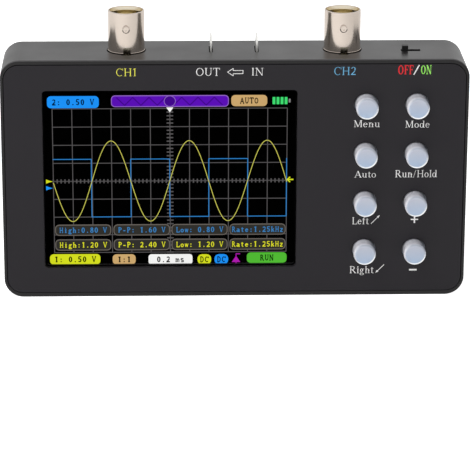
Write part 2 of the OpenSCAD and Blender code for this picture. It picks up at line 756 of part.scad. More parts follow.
// ---- power switch ----
module power_switch_case() {
    color([0.72, 0.73, 0.75]) from_face() difference() {
        block([switch_x - case_w / 2, board_back, case_top - case_h],
            [switch_x + case_w / 2, board_back + case_t, case_top]);
        block([switch_x - case_w / 2 + sheet_t, board_back + sheet_t, case_top - case_h - eps],
            [switch_x + case_w / 2 - sheet_t, board_back + case_t - sheet_t, case_top - sheet_t]);
        block([switch_x - slot_w / 2, board_back + sheet_t, case_top - sheet_t - eps],
            [switch_x + slot_w / 2, board_back + case_t - sheet_t, case_top + eps]);
    }
}
module power_switch_base() {
    color([0.16, 0.14, 0.12]) from_face()
        block([switch_x - case_w / 2, board_back, case_top - case_h - base_h],
            [switch_x + case_w / 2, board_back + case_t, case_top - case_h]);
}
module power_switch_pins() {
    color([0.8, 0.8, 0.78]) from_face() for (s = [-1, 0, 1])
        rod_y(switch_x + s * switch_pin_pitch, switch_pin_z, 0.3, board_y - pin_out, board_back);
}
module power_switch_knob() {
    color([0.06, 0.06, 0.06]) from_face() {
        block([knob_x - carriage_w / 2, switch_y - knob_t / 2, case_top - case_h + carriage_gap],
            [knob_x + carriage_w / 2, switch_y + knob_t / 2, case_top - sheet_t - carriage_gap]);
        block([knob_x - knob_w / 2, switch_y - knob_t / 2, case_top - case_h + carriage_gap],
            [knob_x + knob_w / 2, switch_y + knob_t / 2, body_h + knob_up]);
    }
}

// ---- charging port ----
module port_shell() {
    color([0.75, 0.76, 0.78]) from_face() difference() {
        port_run(port_x, port_x + port_l, 0);
        port_run(port_x - eps, port_x + port_l - port_sheet, -port_sheet);
    }
}
module port_tongue() {
    color([0.08, 0.08, 0.08]) from_face() {
        port_run(port_x + port_l - port_sheet - plug_block, port_x + port_l - port_sheet,
            -port_sheet - seat);
        block([port_x + port_l - port_sheet - plug_block - tongue_l, port_y - tongue_t / 2,
                port_z - tongue_w / 2],
            [port_x + port_l - port_sheet - plug_block + eps, port_y + tongue_t / 2,
                port_z + tongue_w / 2]);
    }
}

// ---- battery ----
cell_r = 2;
module battery_cell() {
    color([0.7, 0.72, 0.75]) from_face() {
        translate([cell_x0 + cell_r, cell_y, cell_z0]) cube([cell_w - 2 * cell_r, cell_t, cell_h]);
        for (x = [cell_x0 + cell_r, cell_x0 + cell_w - cell_r])
            translate([x, cell_y + cell_r, cell_z0]) {
                cylinder(r = cell_r, h = cell_h);
                translate([0, cell_t - 2 * cell_r, 0]) cylinder(r = cell_r, h = cell_h);
                translate([-cell_r, 0, 0]) cube([2 * cell_r, cell_t - 2 * cell_r, cell_h]);
            }
    }
}
module battery_tape() {
    color([0.95, 0.95, 0.9]) from_face()
        block([cell_x0 + 5, inner_back - tape_t, cell_z0 + 5],
            [cell_x0 + cell_w - 5, inner_back, cell_z0 + cell_h - 5]);
}
cell_right = cell_x0 + cell_w;
wire_y = cell_y + cell_t / 2;
wire_low = cell_z0 + cell_h / 3;
wire_x = cell_right + wire_out + wire_bend;
plug_z = wire_low + wire_bend + wire_pitch + 2;
// one wire: out of the cell's end, round a bend and up into the plug
module battery_wire(rank) {
    shift = rank * wire_pitch;
    translate([cell_right, wire_y, wire_low + wire_pitch - shift]) rotate([0, 90, 0])
        cylinder(d = wire_d, h = wire_out + shift);
    translate([cell_right + wire_out + shift, wire_y, wire_low + wire_pitch - shift + wire_bend])
        rotate([90, 0, 0]) rotate([0, 0, -90])
            rotate_extrude(angle = 90) translate([wire_bend, 0]) circle(d = wire_d);
    translate([wire_x + shift, wire_y, wire_low + wire_pitch - shift + wire_bend])
        cylinder(d = wire_d, h = plug_z - wire_low - wire_pitch + shift - wire_bend);
}
module battery_wire_red() {
    color([0.7, 0.08, 0.08]) from_face() battery_wire(0);
}
module battery_wire_black() {
    color([0.08, 0.08, 0.08]) from_face() battery_wire(1);
}
module battery_plug() {
    color([0.92, 0.92, 0.88]) from_face()
        block([wire_x + wire_pitch / 2 - plug_w / 2, wire_y - plug_t / 2, plug_z],
            [wire_x + wire_pitch / 2 + plug_w / 2, wire_y + plug_t / 2, plug_z + plug_h]);
}
module battery_socket() {
    color([0.92, 0.92, 0.88]) from_face()
        block([wire_x + wire_pitch / 2 - plug_w / 2 - 0.5, board_back, plug_z + plug_h],
            [wire_x + wire_pitch / 2 + plug_w / 2 + 0.5, wire_y + plug_t / 2, plug_z + 2 * plug_h]);
}

// ---- parts on the board's back ----
processor_x = left_column - processor_w / 2 - 2;
processor_z = board_low + 1.5 * processor_w + 4;
relay_in = 11;              // distance of a relay from its jack's axis
amplifier_in = 8;           // distance of an amplifier chip from its jack's axis
inputs_z = block_top - block_h - 4.5;    // height of the parts below the jacks
small_count = 5;
module chip(x, z, w, h, t) {
    block([x - w / 2, board_back, z - h / 2], [x + w / 2, board_back + t, z + h / 2]);
}
module processor() {
    color([0.08, 0.08, 0.09]) from_face()
        chip(processor_x, processor_z, processor_w, processor_w, processor_t);
}
module sampler_chips() {
    color([0.08, 0.08, 0.09]) from_face() for (side = [-1, 1])
        chip(processor_x + side * processor_w, processor_z + processor_w + sampler_h / 2,
            sampler_w, sampler_h, chip_t);
}
module amplifier_chips() {
    color([0.08, 0.08, 0.09]) from_face() for (x = [jack_left_x, jack_right_x])
        chip(x + amplifier_in, inputs_z, amplifier_w, amplifier_h, chip_t);
}
module input_relays() {
    color([0.85, 0.55, 0.2]) from_face() for (x = [jack_left_x, jack_right_x])
        chip(x - relay_in, block_top - relay_h, relay_w, relay_h, relay_t);
}
module trim_capacitors() {
    color([0.9, 0.9, 0.86]) from_face() for (x = [jack_left_x, jack_right_x], side = [-1, 1])
        chip(x + side * (trim_w / 2 + 0.8), inputs_z, trim_w, trim_h, chip_t);
}
module crystal() {
    color([0.75, 0.75, 0.77]) from_face()
        chip(processor_x - processor_w, processor_z, crystal_w, crystal_h, crystal_t);
}
module power_coil() {
    color([0.2, 0.2, 0.21]) from_face()
        chip(left_column + column_pitch, board_low + coil_w + 3, coil_w, coil_w, coil_t);
}
module small_parts() {
    color([0.6, 0.5, 0.35]) from_face() for (i = [0:small_count - 1], side = [-1, 1])
        chip(processor_x + (i - (small_count - 1) / 2) * small_pitch,
            processor_z + side * (processor_w / 2 + 2), small_w, small_h, small_h);
}

// ---- screws ----
module cross_recess(y, d) {
    slot_t = 0.5;
    for (a = [0, 90]) translate([0, y, 0]) rotate([0, a, 0])
        translate([-d / 3, -0.8, -slot_t / 2]) cube([d / 1.5, 0.8 + eps, slot_t]);
}
module case_screws() {
    color([0.5, 0.5, 0.52]) from_face() case_screw_places() difference() {
        union() {
            rod_y(0, 0, head_d / 2, recess_y, recess_y + head_h);
            rod_y(0, 0, screw_d / 2, screw_tip, recess_y + eps);
        }
        cross_recess(recess_y + head_h, head_d);
    }
}
module board_screws() {
    board_head_h = 1.3;
    color([0.6, 0.6, 0.62]) from_face() board_screw_places() difference() {
        union() {
            rod_y(0, 0, board_head_d / 2, board_back, board_back + board_head_h);
            rod_y(0, 0, board_screw_d / 2, board_screw_tip, board_back + eps);
        }
        cross_recess(board_back + board_head_h, board_head_d);
    }
}

front_cover();
back_cover();
screen_window();
screen_gasket();
lcd_glass();
lcd_tray();
lcd_foam();
lcd_ribbon();
ribbon_connector();
main_board();
for (i = [0:7]) button_cap(i);
for (i = [0:7]) button_stem(i);
tact_bodies();
tact_covers();
jack_shell(jack_left_x);  // jack_shell_left
jack_shell(jack_right_x);  // jack_shell_right
jack_insulator(jack_left_x);  // jack_insulator_left
jack_insulator(jack_right_x);  // jack_insulator_right
jack_contact(jack_left_x);  // jack_contact_left
jack_contact(jack_right_x);  // jack_contact_right
signal_tab(tab_out_x);  // tab_out
signal_tab(tab_in_x);  // tab_in
power_switch_case();
power_switch_base();
power_switch_pins();
power_switch_knob();
port_shell();
port_tongue();
battery_cell();
battery_tape();
battery_wire_red();
battery_wire_black();
battery_plug();
battery_socket();
processor();
sampler_chips();
amplifier_chips();
input_relays();
trim_capacitors();
crystal();
power_coil();
small_parts();
case_screws();
board_screws();
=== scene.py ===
import json
import math

import bpy
from mathutils import Matrix, Vector
from mathutils.geometry import delaunay_2d_cdt


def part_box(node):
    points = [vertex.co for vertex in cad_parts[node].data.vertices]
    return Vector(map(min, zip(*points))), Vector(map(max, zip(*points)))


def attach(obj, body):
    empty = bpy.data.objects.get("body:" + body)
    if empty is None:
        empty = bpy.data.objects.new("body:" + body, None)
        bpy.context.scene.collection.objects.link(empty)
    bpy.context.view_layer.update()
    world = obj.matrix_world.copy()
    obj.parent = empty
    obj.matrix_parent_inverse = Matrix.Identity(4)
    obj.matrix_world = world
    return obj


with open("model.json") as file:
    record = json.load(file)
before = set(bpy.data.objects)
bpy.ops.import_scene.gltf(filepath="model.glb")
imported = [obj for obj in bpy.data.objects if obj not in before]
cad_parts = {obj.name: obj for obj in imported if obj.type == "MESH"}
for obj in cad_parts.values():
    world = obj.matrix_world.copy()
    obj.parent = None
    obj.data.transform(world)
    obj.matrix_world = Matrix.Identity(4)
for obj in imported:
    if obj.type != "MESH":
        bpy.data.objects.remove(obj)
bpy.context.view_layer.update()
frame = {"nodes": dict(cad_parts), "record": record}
print("frame loaded, nodes:", len(frame["nodes"]))


# lengths are written in millimetres and turned to metres here
def mm(value):
    return value / 1000


# sRGB hex to the linear colour that the shaders take
def linear(hexText):
    channels = [int(hexText[i:i + 2], 16) / 255 for i in (1, 3, 5)]
    return [c / 12.92 if c <= 0.04045 else ((c + 0.055) / 1.055) ** 2.4 for c in channels] + [1.0]


# settings are the node's own or its sockets', links say which output feeds a socket
def addNode(tree, kind, settings=None, links=None):
    node = tree.nodes.new(kind)
    for name, value in (settings or {}).items():
        if isinstance(name, int) or name in node.inputs:
            node.inputs[name].default_value = value
        else:
            setattr(node, name, value)
    for name, (source, output) in (links or {}).items():
        tree.links.new(source.outputs[output], node.inputs[name])
    return node


def freshTree(owner):
    owner.use_nodes = True
    owner.node_tree.nodes.clear()
    return owner.node_tree


# a node's box in millimetres: low corner, high corner
def boxOf(node):
    return [[v * 1000 for v in corner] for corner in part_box(node)]


# camera, at the place and tilt found by fitting the housing's edges to the photograph
camera = {
    "place": (-19.60, -685.94, 242.45),   # mm
    "yaw": 1.662,                         # degrees
    "pitch": 18.401,
    "roll": 0.189,
    "focal": 2735.1,                      # in pixels of a picture 470 wide
    "picture": 470,
    "sensor": 36,                         # mm
    "farthest": 20000,                    # mm, where its sight ends
}


def makeCamera():
    yaw, pitch, roll = (math.radians(camera[k]) for k in ("yaw", "pitch", "roll"))
    forward = Vector((math.sin(yaw) * math.cos(pitch), math.cos(yaw) * math.cos(pitch), -math.sin(pitch)))
    right = Vector((math.cos(yaw), -math.sin(yaw), 0))
    up = right.cross(forward)
    rolledRight = right * math.cos(roll) + up * math.sin(roll)
    rolledUp = up * math.cos(roll) - right * math.sin(roll)
    data = bpy.data.cameras.new("camera")
    data.sensor_width = camera["sensor"]
    data.lens = camera["focal"] / camera["picture"] * camera["sensor"]
    data.clip_end = mm(camera["farthest"])
    body = bpy.data.objects.new("camera", data)
    bpy.context.scene.collection.objects.link(body)
    turn = Matrix((rolledRight, rolledUp, -forward)).transposed().to_4x4()
    body.matrix_world = Matrix.Translation([mm(v) for v in camera["place"]]) @ turn
    bpy.context.scene.camera = body


makeCamera()
bpy.context.scene.view_settings.view_transform = "Standard"
print("camera ready")

# stage: a white floor that runs into a white world, and soft lamps
stage = {
    "floorHalf": 3000,      # mm
    "floorColour": "#E6E6E6",
    "worldFill": 0.22,      # how strongly the world lights the object
    "worldGloss": 1.0,      # how bright the world looks in a gloss
    "floorFill": 0.1,       # how strongly the floor glows besides the light that falls on it
    "floorGloss": 0.5,
    "aimHeight": 32,        # mm, where the lamps point over the origin
}
lamps = {
    # name: place in mm, size in mm, watts
    "top": ((-300, -240, 680), (600, 500), 4.2),
    "back": ((60, 620, 520), (900, 400), 0.8),
    "front": ((-300, -900, 420), (500, 500), 2.6),
}


# one value for a diffuse ray, one for a gloss, and white for what the camera or a clear piece sees
def seenStrength(tree, fill, gloss):
    path = addNode(tree, "ShaderNodeLightPath")
    direct = addNode(tree, "ShaderNodeMath", {"operation": "MAXIMUM"},
                     {0: (path, "Is Camera Ray"), 1: (path, "Is Transmission Ray")})
    reflected = addNode(tree, "ShaderNodeMix", {"data_type": "FLOAT", 2: fill, 3: gloss},
                        {0: (path, "Is Glossy Ray")})
    return addNode(tree, "ShaderNodeMix", {"data_type": "FLOAT", 3: 1.0},
                   {0: (direct, 0), 2: (reflected, 0)})


def makeStage():
    world = bpy.data.worlds.new("studio")
    bpy.context.scene.world = world
    tree = freshTree(world)
    strength = seenStrength(tree, stage["worldFill"], stage["worldGloss"])
    sky = addNode(tree, "ShaderNodeBackground", {"Color": (1, 1, 1, 1)}, {"Strength": (strength, 0)})
    addNode(tree, "ShaderNodeOutputWorld", links={"Surface": (sky, 0)})

    half = mm(stage["floorHalf"])
    mesh = bpy.data.meshes.new("floor")
    mesh.from_pydata([(-half, -half, 0), (half, -half, 0), (half, half, 0), (-half, half, 0)], [],
                     [(0, 1, 2, 3)])
    floor = bpy.data.objects.new("floor", mesh)
    bpy.context.scene.collection.objects.link(floor)
    paper = bpy.data.materials.new("floorPaper")
    tree = freshTree(paper)
    strength = seenStrength(tree, stage["floorFill"], stage["floorGloss"])
    matt = addNode(tree, "ShaderNodeBsdfDiffuse", {"Color": linear(stage["floorColour"])})
    glow = addNode(tree, "ShaderNodeEmission", {"Color": (1, 1, 1, 1)}, {"Strength": (strength, 0)})
    both = addNode(tree, "ShaderNodeAddShader", links={0: (matt, 0), 1: (glow, 0)})
    addNode(tree, "ShaderNodeOutputMaterial", links={"Surface": (both, 0)})
    mesh.materials.append(paper)

    target = Vector((0, 0, mm(stage["aimHeight"])))
    for name, (place, size, watts) in lamps.items():
        data = bpy.data.lights.new(name, "AREA")
        data.shape = "RECTANGLE"
        data.size, data.size_y = mm(size[0]), mm(size[1])
        data.energy = watts
        lamp = bpy.data.objects.new(name, data)
        bpy.context.scene.collection.objects.link(lamp)
        lamp.visible_glossy = False      # a gloss shows the white room and no lamp
        spot = Vector([mm(v) for v in place])
        turn = (target - spot).to_track_quat("-Z", "Y").to_matrix().to_4x4()
        lamp.matrix_world = Matrix.Translation(spot) @ turn


makeStage()
print("stage ready")


# what all materials share
finish = {
    "noise": (0.3, 0.7),    # most values of a noise lie between these
    "glossSpread": 0.12,    # share by which the roughness varies
    "bumpStrength": 0.5,
}


# a number that runs between two ends while a node's output goes from low to high
def share(tree, source, output, low, high, ends=(0, 1)):
    return addNode(tree, "ShaderNodeMapRange",
                   {"From Min": low, "From Max": high, "To Min": ends[0], "To Max": ends[1]},
                   {"Value": (source, output)})


# a noise over the piece's own place, with spots of a size in mm
def noise(tree, spots, detail):
    place = addNode(tree, "ShaderNodeTexCoord")
    return addNode(tree, "ShaderNodeTexNoise", {"Scale": 1 / mm(spots), "Detail": detail},
                   {"Vector": (place, "Object")})


# a material: a base, a second colour in broad clouds, a gloss that varies and a fine grain of a depth.
# cloud, grain and depth are in mm, gloss is the specular level, more are other sockets of the shader
def surface(name, colour, second, roughness, grain, depth, cloud=14, gloss=0.5, more=None):
    material = bpy.data.materials.new(name)
    tree = freshTree(material)
    broad = noise(tree, cloud, 3.0)
    fine = noise(tree, grain, 2.0)
    blend = addNode(tree, "ShaderNodeMix", {"data_type": "RGBA", "A": linear(colour), "B": linear(second)},
                    {0: (broad, 0)})
    least, most = roughness * (1 - finish["glossSpread"]), roughness * (1 + finish["glossSpread"])
    spread = share(tree, broad, 0, *finish["noise"], (least, most))
    bump = addNode(tree, "ShaderNodeBump", {"Strength": finish["bumpStrength"], "Distance": mm(depth)},
                   {"Height": (fine, 0)})
    shader = addNode(tree, "ShaderNodeBsdfPrincipled", {"Specular IOR Level": gloss, **(more or {})},
                     {"Base Color": (blend, 2), "Roughness": (spread, 0), "Normal": (bump, 0)})
    addNode(tree, "ShaderNodeOutputMaterial", links={"Surface": (shader, 0)})
    return material


def metal(name, colour, second, roughness, grain, depth):
    return surface(name, colour, second, roughness, grain, depth, more={"Metallic": 1.0})


def shaderOf(material):
    return next(n for n in material.node_tree.nodes if n.type == "BSDF_PRINCIPLED")


# the parts along X, Y and Z of a place or a direction that another node gives
def partsOf(tree, kind, output):
    source = addNode(tree, kind)
    return addNode(tree, "ShaderNodeSeparateXYZ", links={0: (source, output)})


# the shader's colour turns to another one by a share
def recolour(material, by, colour):
    tree = material.node_tree
    shader = shaderOf(material)
    link = shader.inputs["Base Color"].links[0]
    blend = addNode(tree, "ShaderNodeMix", {"data_type": "RGBA", "B": linear(colour)},
                    {0: (by, 0), "A": (link.from_node, link.from_socket.name)})
    tree.links.new(blend.outputs[2], shader.inputs["Base Color"])


# moulded ABS housing: satin, with a painted highlight along the front edge of its top wall: a paler line
# where the surface faces up, as the photograph shows
case = {
    "colour": "#1C1B1C",
    "cloud": "#201F1F",
    # painted highlight: the paler colour of the line along the front top edge
    "edge": "#4A494A",
    "edgeWidth": 0.7,       # mm
    "topSide": (0.3, 0.6),  # upward part of the direction: none of the line, all of it
}


def casePlastic():
    material = surface("casePlastic", case["colour"], case["cloud"], 0.34, 0.35, 0.004, gloss=0.25)
    tree = material.node_tree
    place = partsOf(tree, "ShaderNodeTexCoord", "Object")
    front = boxOf("back_cover")[0][1]
    nearFront = share(tree, place, "Y", mm(front + case["edgeWidth"]), mm(front + case["edgeWidth"] / 2))
    aim = partsOf(tree, "ShaderNodeNewGeometry", "Normal")
    facesUp = share(tree, aim, "Z", *case["topSide"])
    # painted highlight: where the top wall faces up near its front edge
    paintedHighlight = addNode(tree, "ShaderNodeMath", {"operation": "MULTIPLY"}, {0: (nearFront, 0), 1: (facesUp, 0)})
    recolour(material, paintedHighlight, case["edge"])
    return material


# moulded translucent plastic: light sinks in and blurs the shading. The tints by direction are painted light
# and shade, and the white, faintly glowing lower rim is a painted highlight and a painted glow; they are
# matched to the photograph, where light passes through the cap
cap = {
    "face": "#C6C9D4",
    "cloud": "#C0C6D6",
    "sink": 1.2,              # mm that light travels inside
    # a colour, and between which two values it takes over from the ones before
    "low": ("#AEC2DC", 0.75, 0.2),          # height in the cap, 1 at its upper end
    # painted shade: the upper rim darker where the cap faces partly up
    "topRimShade": ("#A6ABB6", 0.1, 0.5),        # upward part of the direction
    # painted light: paler where the cap faces nearer to straight up
    "topSide": ("#C8C8D0", 0.7, 0.95),      # the same, nearer to straight up
    # painted light: the left side paler
    "leftSideLight": ("#DEDEE4", -0.2, -0.7),    # rightward part of the direction
    # painted highlight: white along the lower rim, where the cap faces down and to the right
    "rim": ("#FFFFFF", 0.1, 0.6),           # part of the direction along rimAim
    "rimAim": (0.42, 0, -0.9),
    # strength of the painted glow of the lower rim
    "paintedRimGlow": 0.42,
}


def milkyPlastic():
    more = {"Subsurface Weight": 0.3, "Subsurface Radius": (1.0, 1.0, 1.0),
            "Subsurface Scale": mm(cap["sink"]), "Coat Weight": 0.5, "Coat Roughness": 0.15, "Coat IOR": 1.5,
            "Emission Color": (1, 1, 1, 1)}
    material = surface("capPlastic", cap["face"], cap["cloud"], 0.35, 0.5, 0.003, cloud=5, more=more)
    tree = material.node_tree
    within = partsOf(tree, "ShaderNodeTexCoord", "Generated")
    aim = partsOf(tree, "ShaderNodeNewGeometry", "Normal")
    # a tint bluer towards the lower end, then painted shade and painted light by direction
    for key, source, output in (("low", within, "Z"), ("topRimShade", aim, "Z"), ("topSide", aim, "Z"),
                                ("leftSideLight", aim, "X")):
        colour, none, full = cap[key]
        recolour(material, share(tree, source, output, none, full), colour)
    # painted highlight and painted glow on the lower rim, facing along rimAim
    lean = addNode(tree, "ShaderNodeVectorMath", {"operation": "DOT_PRODUCT", 1: cap["rimAim"]},
                   {0: (addNode(tree, "ShaderNodeNewGeometry"), "Normal")})
    colour, none, full = cap["rim"]
    paintedRimLight = share(tree, lean, "Value", none, full)
    recolour(material, paintedRimLight, colour)
    glow = addNode(tree, "ShaderNodeMath", {"operation": "MULTIPLY", 1: cap["paintedRimGlow"]}, {0: (paintedRimLight, 0)})
    tree.links.new(glow.outputs[0], shaderOf(material).inputs["Emission Strength"])
    return material


# nickel plate over turned brass. The bore's tint is a painted reflection of the cream insulator, matched to
# the photograph
jack = {
    "plate": "#D0C4B9",
    "cloud": "#C3B7AC",
    # painted reflection: the insulator's cream inside the bore
    "bore": "#E2D8C2",
    "boreHalf": 4.28,         # mm from the axis
    "boreFade": 0.06,         # mm over which the tint ends
}


def jackNickel():
    material = metal("jackNickel", jack["plate"], jack["cloud"], 0.17, 0.4, 0.002)
    tree = material.node_tree
    place = addNode(tree, "ShaderNodeTexCoord")
    flat = addNode(tree, "ShaderNodeVectorMath", {"operation": "MULTIPLY", 1: (1, 1, 0)},
                   {0: (place, "Object")})
    away = []
    for side in ("left", "right"):
        low, high = boxOf("jack_insulator_" + side)
        axis = (mm(low[0] + high[0]) / 2, mm(low[1] + high[1]) / 2, 0)
        away.append(addNode(tree, "ShaderNodeVectorMath", {"operation": "DISTANCE", 1: axis}, {0: (flat, 0)}))
    nearer = addNode(tree, "ShaderNodeMath", {"operation": "MINIMUM"},
                     {0: (away[0], "Value"), 1: (away[1], "Value")})
    # painted reflection of the insulator, within the bore's radius
    paintedBoreReflection = share(tree, nearer, "Value", mm(jack["boreHalf"] + jack["boreFade"]), mm(jack["boreHalf"]))
    recolour(material, paintedBoreReflection, jack["bore"])
    return material


materials = {
    # spark-eroded ABS: a fine even grain breaks the gloss into a satin sheen
    "face_black": surface("facePlastic", "#211F22", "#242226", 0.46, 0.35, 0.006, gloss=0.2),
    # moulded ABS: smoother than the face, with a soft sheen and a painted highlight along the front edge of
    # its top wall
    "case_black": casePlastic(),
    # clear acrylic: hardly to be seen, and without a gloss, as in the photograph
    "window_clear": surface("windowAcrylic", "#000000", "#010101", 0.12, 3, 0.001, gloss=0.0,
                            more={"Alpha": 0.04}),
    # open-celled foam: matt, with pores that swallow light
    "foam_black": surface("foam", "#101010", "#1C1C1C", 0.9, 0.4, 0.1),
    # the panel's polariser: an even black between the lit cells
    "display_glass": surface("displayGlass", "#010101", "#020202", 0.3, 4, 0.001, gloss=0.0),
    # moulded polycarbonate frame of the backlight: cool white with a soft gloss
    "tray_white": surface("trayPlastic", "#E4E6E6", "#D8DADA", 0.4, 0.5, 0.01),
    # polyimide film: amber and smooth
    "ribbon_amber": surface("ribbonFilm", "#B06818", "#C88030", 0.3, 2, 0.01),
    # moulded nylon of plugs: ivory and waxy
    "nylon_white": surface("nylon", "#EAE6DA", "#DCD6C6", 0.5, 0.4, 0.01),
    # solder mask over woven glass: glossy green with a faint unevenness
    "board_green": surface("solderMask", "#0B4A26", "#0E5A30", 0.3, 0.8, 0.01),
    # translucent plastic: milky, with a painted highlight and a painted glow along its lower rim
    "cap_milky": milkyPlastic(),
    # glass-filled nylon of the switches: dull black
    "switch_black": surface("switchPlastic", "#141414", "#1A1A1A", 0.5, 0.4, 0.01),
    # stamped stainless sheet: grey, with a soft shine
    "steel_bright": metal("switchSteel", "#C8CACC", "#B4B6B8", 0.3, 0.3, 0.002),
    # nickel plate: a warm mirror, slightly blurred, with a painted reflection of the cream insulator inside
    # the bore
    "nickel_warm": jackNickel(),
    # moulded insulator: cream and matt
    "insulator_cream": surface("insulator", "#F2E2A8", "#E8D698", 0.5, 0.5, 0.005),
    # gold flash over bronze: warm yellow shine
    "contact_gold": metal("contactGold", "#E4C074", "#D6AE5E", 0.25, 0.3, 0.002),
    # tinned sheet: a white metal with a blurred shine
    "tinned_steel": metal("tinnedSteel", "#F0EFEB", "#E2E1DD", 0.3, 0.3, 0.003),
    # moulded acetal of the knob: deep black, hardly shining
    "knob_black": surface("knobPlastic", "#070707", "#0A0A0A", 0.5, 0.3, 0.006, gloss=0.3),
    # aluminium pouch of the cell: silvery, softly crinkled
    "cell_foil": metal("cellFoil", "#B8BBC0", "#A4A8AE", 0.35, 1.5, 0.02),
    # paper tape: off-white and matt
    "tape_white": surface("tape", "#EEEEE8", "#E2E2DA", 0.6, 0.5, 0.01),
    # silicone sleeves: even colour with a dull sheen
    "wire_red": surface("wireRed", "#B01010", "#9C0C0C", 0.5, 0.4, 0.01),
    "wire_black": surface("wireBlack", "#0C0C0C", "#141414", 0.5, 0.4, 0.01),
    # moulded epoxy: dark grey, finely sanded
    "chip_black": surface("chipEpoxy", "#141416", "#1C1C1E", 0.6, 0.2, 0.01),
    # moulded relay cases: orange with a soft gloss
    "relay_orange": surface("relayPlastic", "#D07018", "#C06412", 0.4, 0.4, 0.01),
    # fired ceramic: tan and slightly glazed
    "ceramic_tan": surface("ceramic", "#8A6E48", "#78603E", 0.4, 0.2, 0.01),
    # black zinc: a dark metal that shines at its edges
    "screw_black": metal("screwZinc", "#202022", "#2C2C2E", 0.35, 0.2, 0.004),
}


def dressNodes():
    slots = {part["node"]: part["material_slot"] for part in frame["record"]["subparts"]}
    for node, piece in frame["nodes"].items():
        piece.data.materials.clear()
        piece.data.materials.append(materials[slots[node]])


dressNodes()
print("nodes dressed:", len(frame["nodes"]))


# flat prints: outlines joined to one sheet, which stands out of its ground by a hair
def signedArea(outline):
    return sum(a[0] * b[1] - b[0] * a[1] for a, b in zip(outline, outline[1:] + outline[:1])) / 2


joining = {
    "near": 1e-5,       # mm, points closer than this become one
    "nothing": 1e-9,    # mm2, outlines smaller than this are left out
    "excess": 1.001,    # a joined sheet larger than this many times its outlines has a hole filled
}


def joinOutlines(outlines):
    points, faces = [], []
    for outline in outlines:
        if abs(signedArea(outline)) < joining["nothing"]:
            continue
        ordered = outline if signedArea(outline) > 0 else outline[::-1]
        faces.append(list(range(len(points), len(points) + len(ordered))))
        points += [Vector(p) for p in ordered]
    joined, _, triangles, _, _, origins = delaunay_2d_cdt(points, [], faces, 0, joining["near"], True)
    kept = [tuple(t) for t, origin in zip(triangles, origins) if origin]
    area = sum(abs(signedArea([joined[i] for i in t])) for t in kept)
    if len(outlines) > 1 and area > joining["excess"] * sum(abs(signedArea(o)) for o in outlines):
        return gatherSheets([o] for o in outlines)
    return list(joined), kept


def gatherSheets(groups):
    points, triangles = [], []
    for group in groups:
        joined, kept = joinOutlines(group)
        triangles += [tuple(i + len(points) for i in t) for t in kept]
        points += joined
    return points, triangles


# groups of outlines in mm across the face, each group one sheet; ground is the depth they lie on, lift how
# far they stand out of it
def makePrint(name, groups, ground, lift, material):
    points, triangles = gatherSheets(groups)
    used = sorted({i for t in triangles for i in t})
    index = {old: new for new, old in enumerate(used)}
    count = len(used)
    front = [(mm(points[i][0]), mm(ground - lift), mm(points[i][1])) for i in used]
    back = [(mm(points[i][0]), mm(ground + prints["root"]), mm(points[i][1])) for i in used]
    faces = [tuple(index[i] for i in t) for t in triangles]
    edges = {(t[i], t[(i + 1) % 3]) for t in faces for i in range(3)}
    rims = [(b, a, a + count, b + count) for a, b in edges if (b, a) not in edges]
    mesh = bpy.data.meshes.new(name)
    mesh.from_pydata(front + back, [], faces + [tuple(i + count for i in reversed(t)) for t in faces] + rims)
    mesh.validate()
    mesh.materials.append(material)
    piece = bpy.data.objects.new(name, mesh)
    bpy.context.scene.collection.objects.link(piece)
    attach(piece, "instrument")
    return piece


prints = {
    "root": 0.02,       # mm that a print reaches into its ground
    "inkLift": 0.012,   # mm that screen-printed ink stands out of the face
    "layer": 0.03,      # mm between two layers of the shown picture
}


def bar(start, end, width, extra=0):
    along = (Vector(end) - Vector(start)).normalized()
    across = Vector((-along.y, along.x)) * width / 2
    a, b = Vector(start) - along * extra, Vector(end) + along * extra
    return [tuple(p) for p in (a - across, b - across, b + across, a + across)]


def disc(centre, radius, steps=12):
    turns = [2 * math.pi * i / steps for i in range(steps)]
    return [(centre[0] + radius * math.cos(t), centre[1] + radius * math.sin(t)) for t in turns]


# a line through points, with round joints, or with square ones where it turns by right angles
def lineThrough(points, width, square=False):
    if square:
        return [bar(a, b, width, width / 2) for a, b in zip(points, points[1:])]
    joints = [disc(p, width / 2, 8) for p in points[1:-1]]
    return [bar(a, b, width) for a, b in zip(points, points[1:])] + joints


def rounded(low, high, radius):
    outline = []
    corners = ((high[0] - radius, low[1] + radius, -90), (high[0] - radius, high[1] - radius, 0),
               (low[0] + radius, high[1] - radius, 90), (low[0] + radius, low[1] + radius, 180))
    for x, y, start in corners:
        for step in range(5):
            turn = math.radians(start + 22.5 * step)
            outline.append((x + radius * math.cos(turn), y + radius * math.sin(turn)))
    return outline


# the strip between two outlines of as many points
def strip(outer, inner):
    return [[outer[i - 1], outer[i], inner[i], inner[i - 1]] for i in range(len(outer))]


# a rounded box and the strip that makes its rim
def rimmed(low, high, radius, line):
    outer = rounded(low, high, radius)
    inner = rounded((low[0] + line, low[1] + line), (high[0] - line, high[1] - line), radius - line)
    return outer, strip(outer, inner)


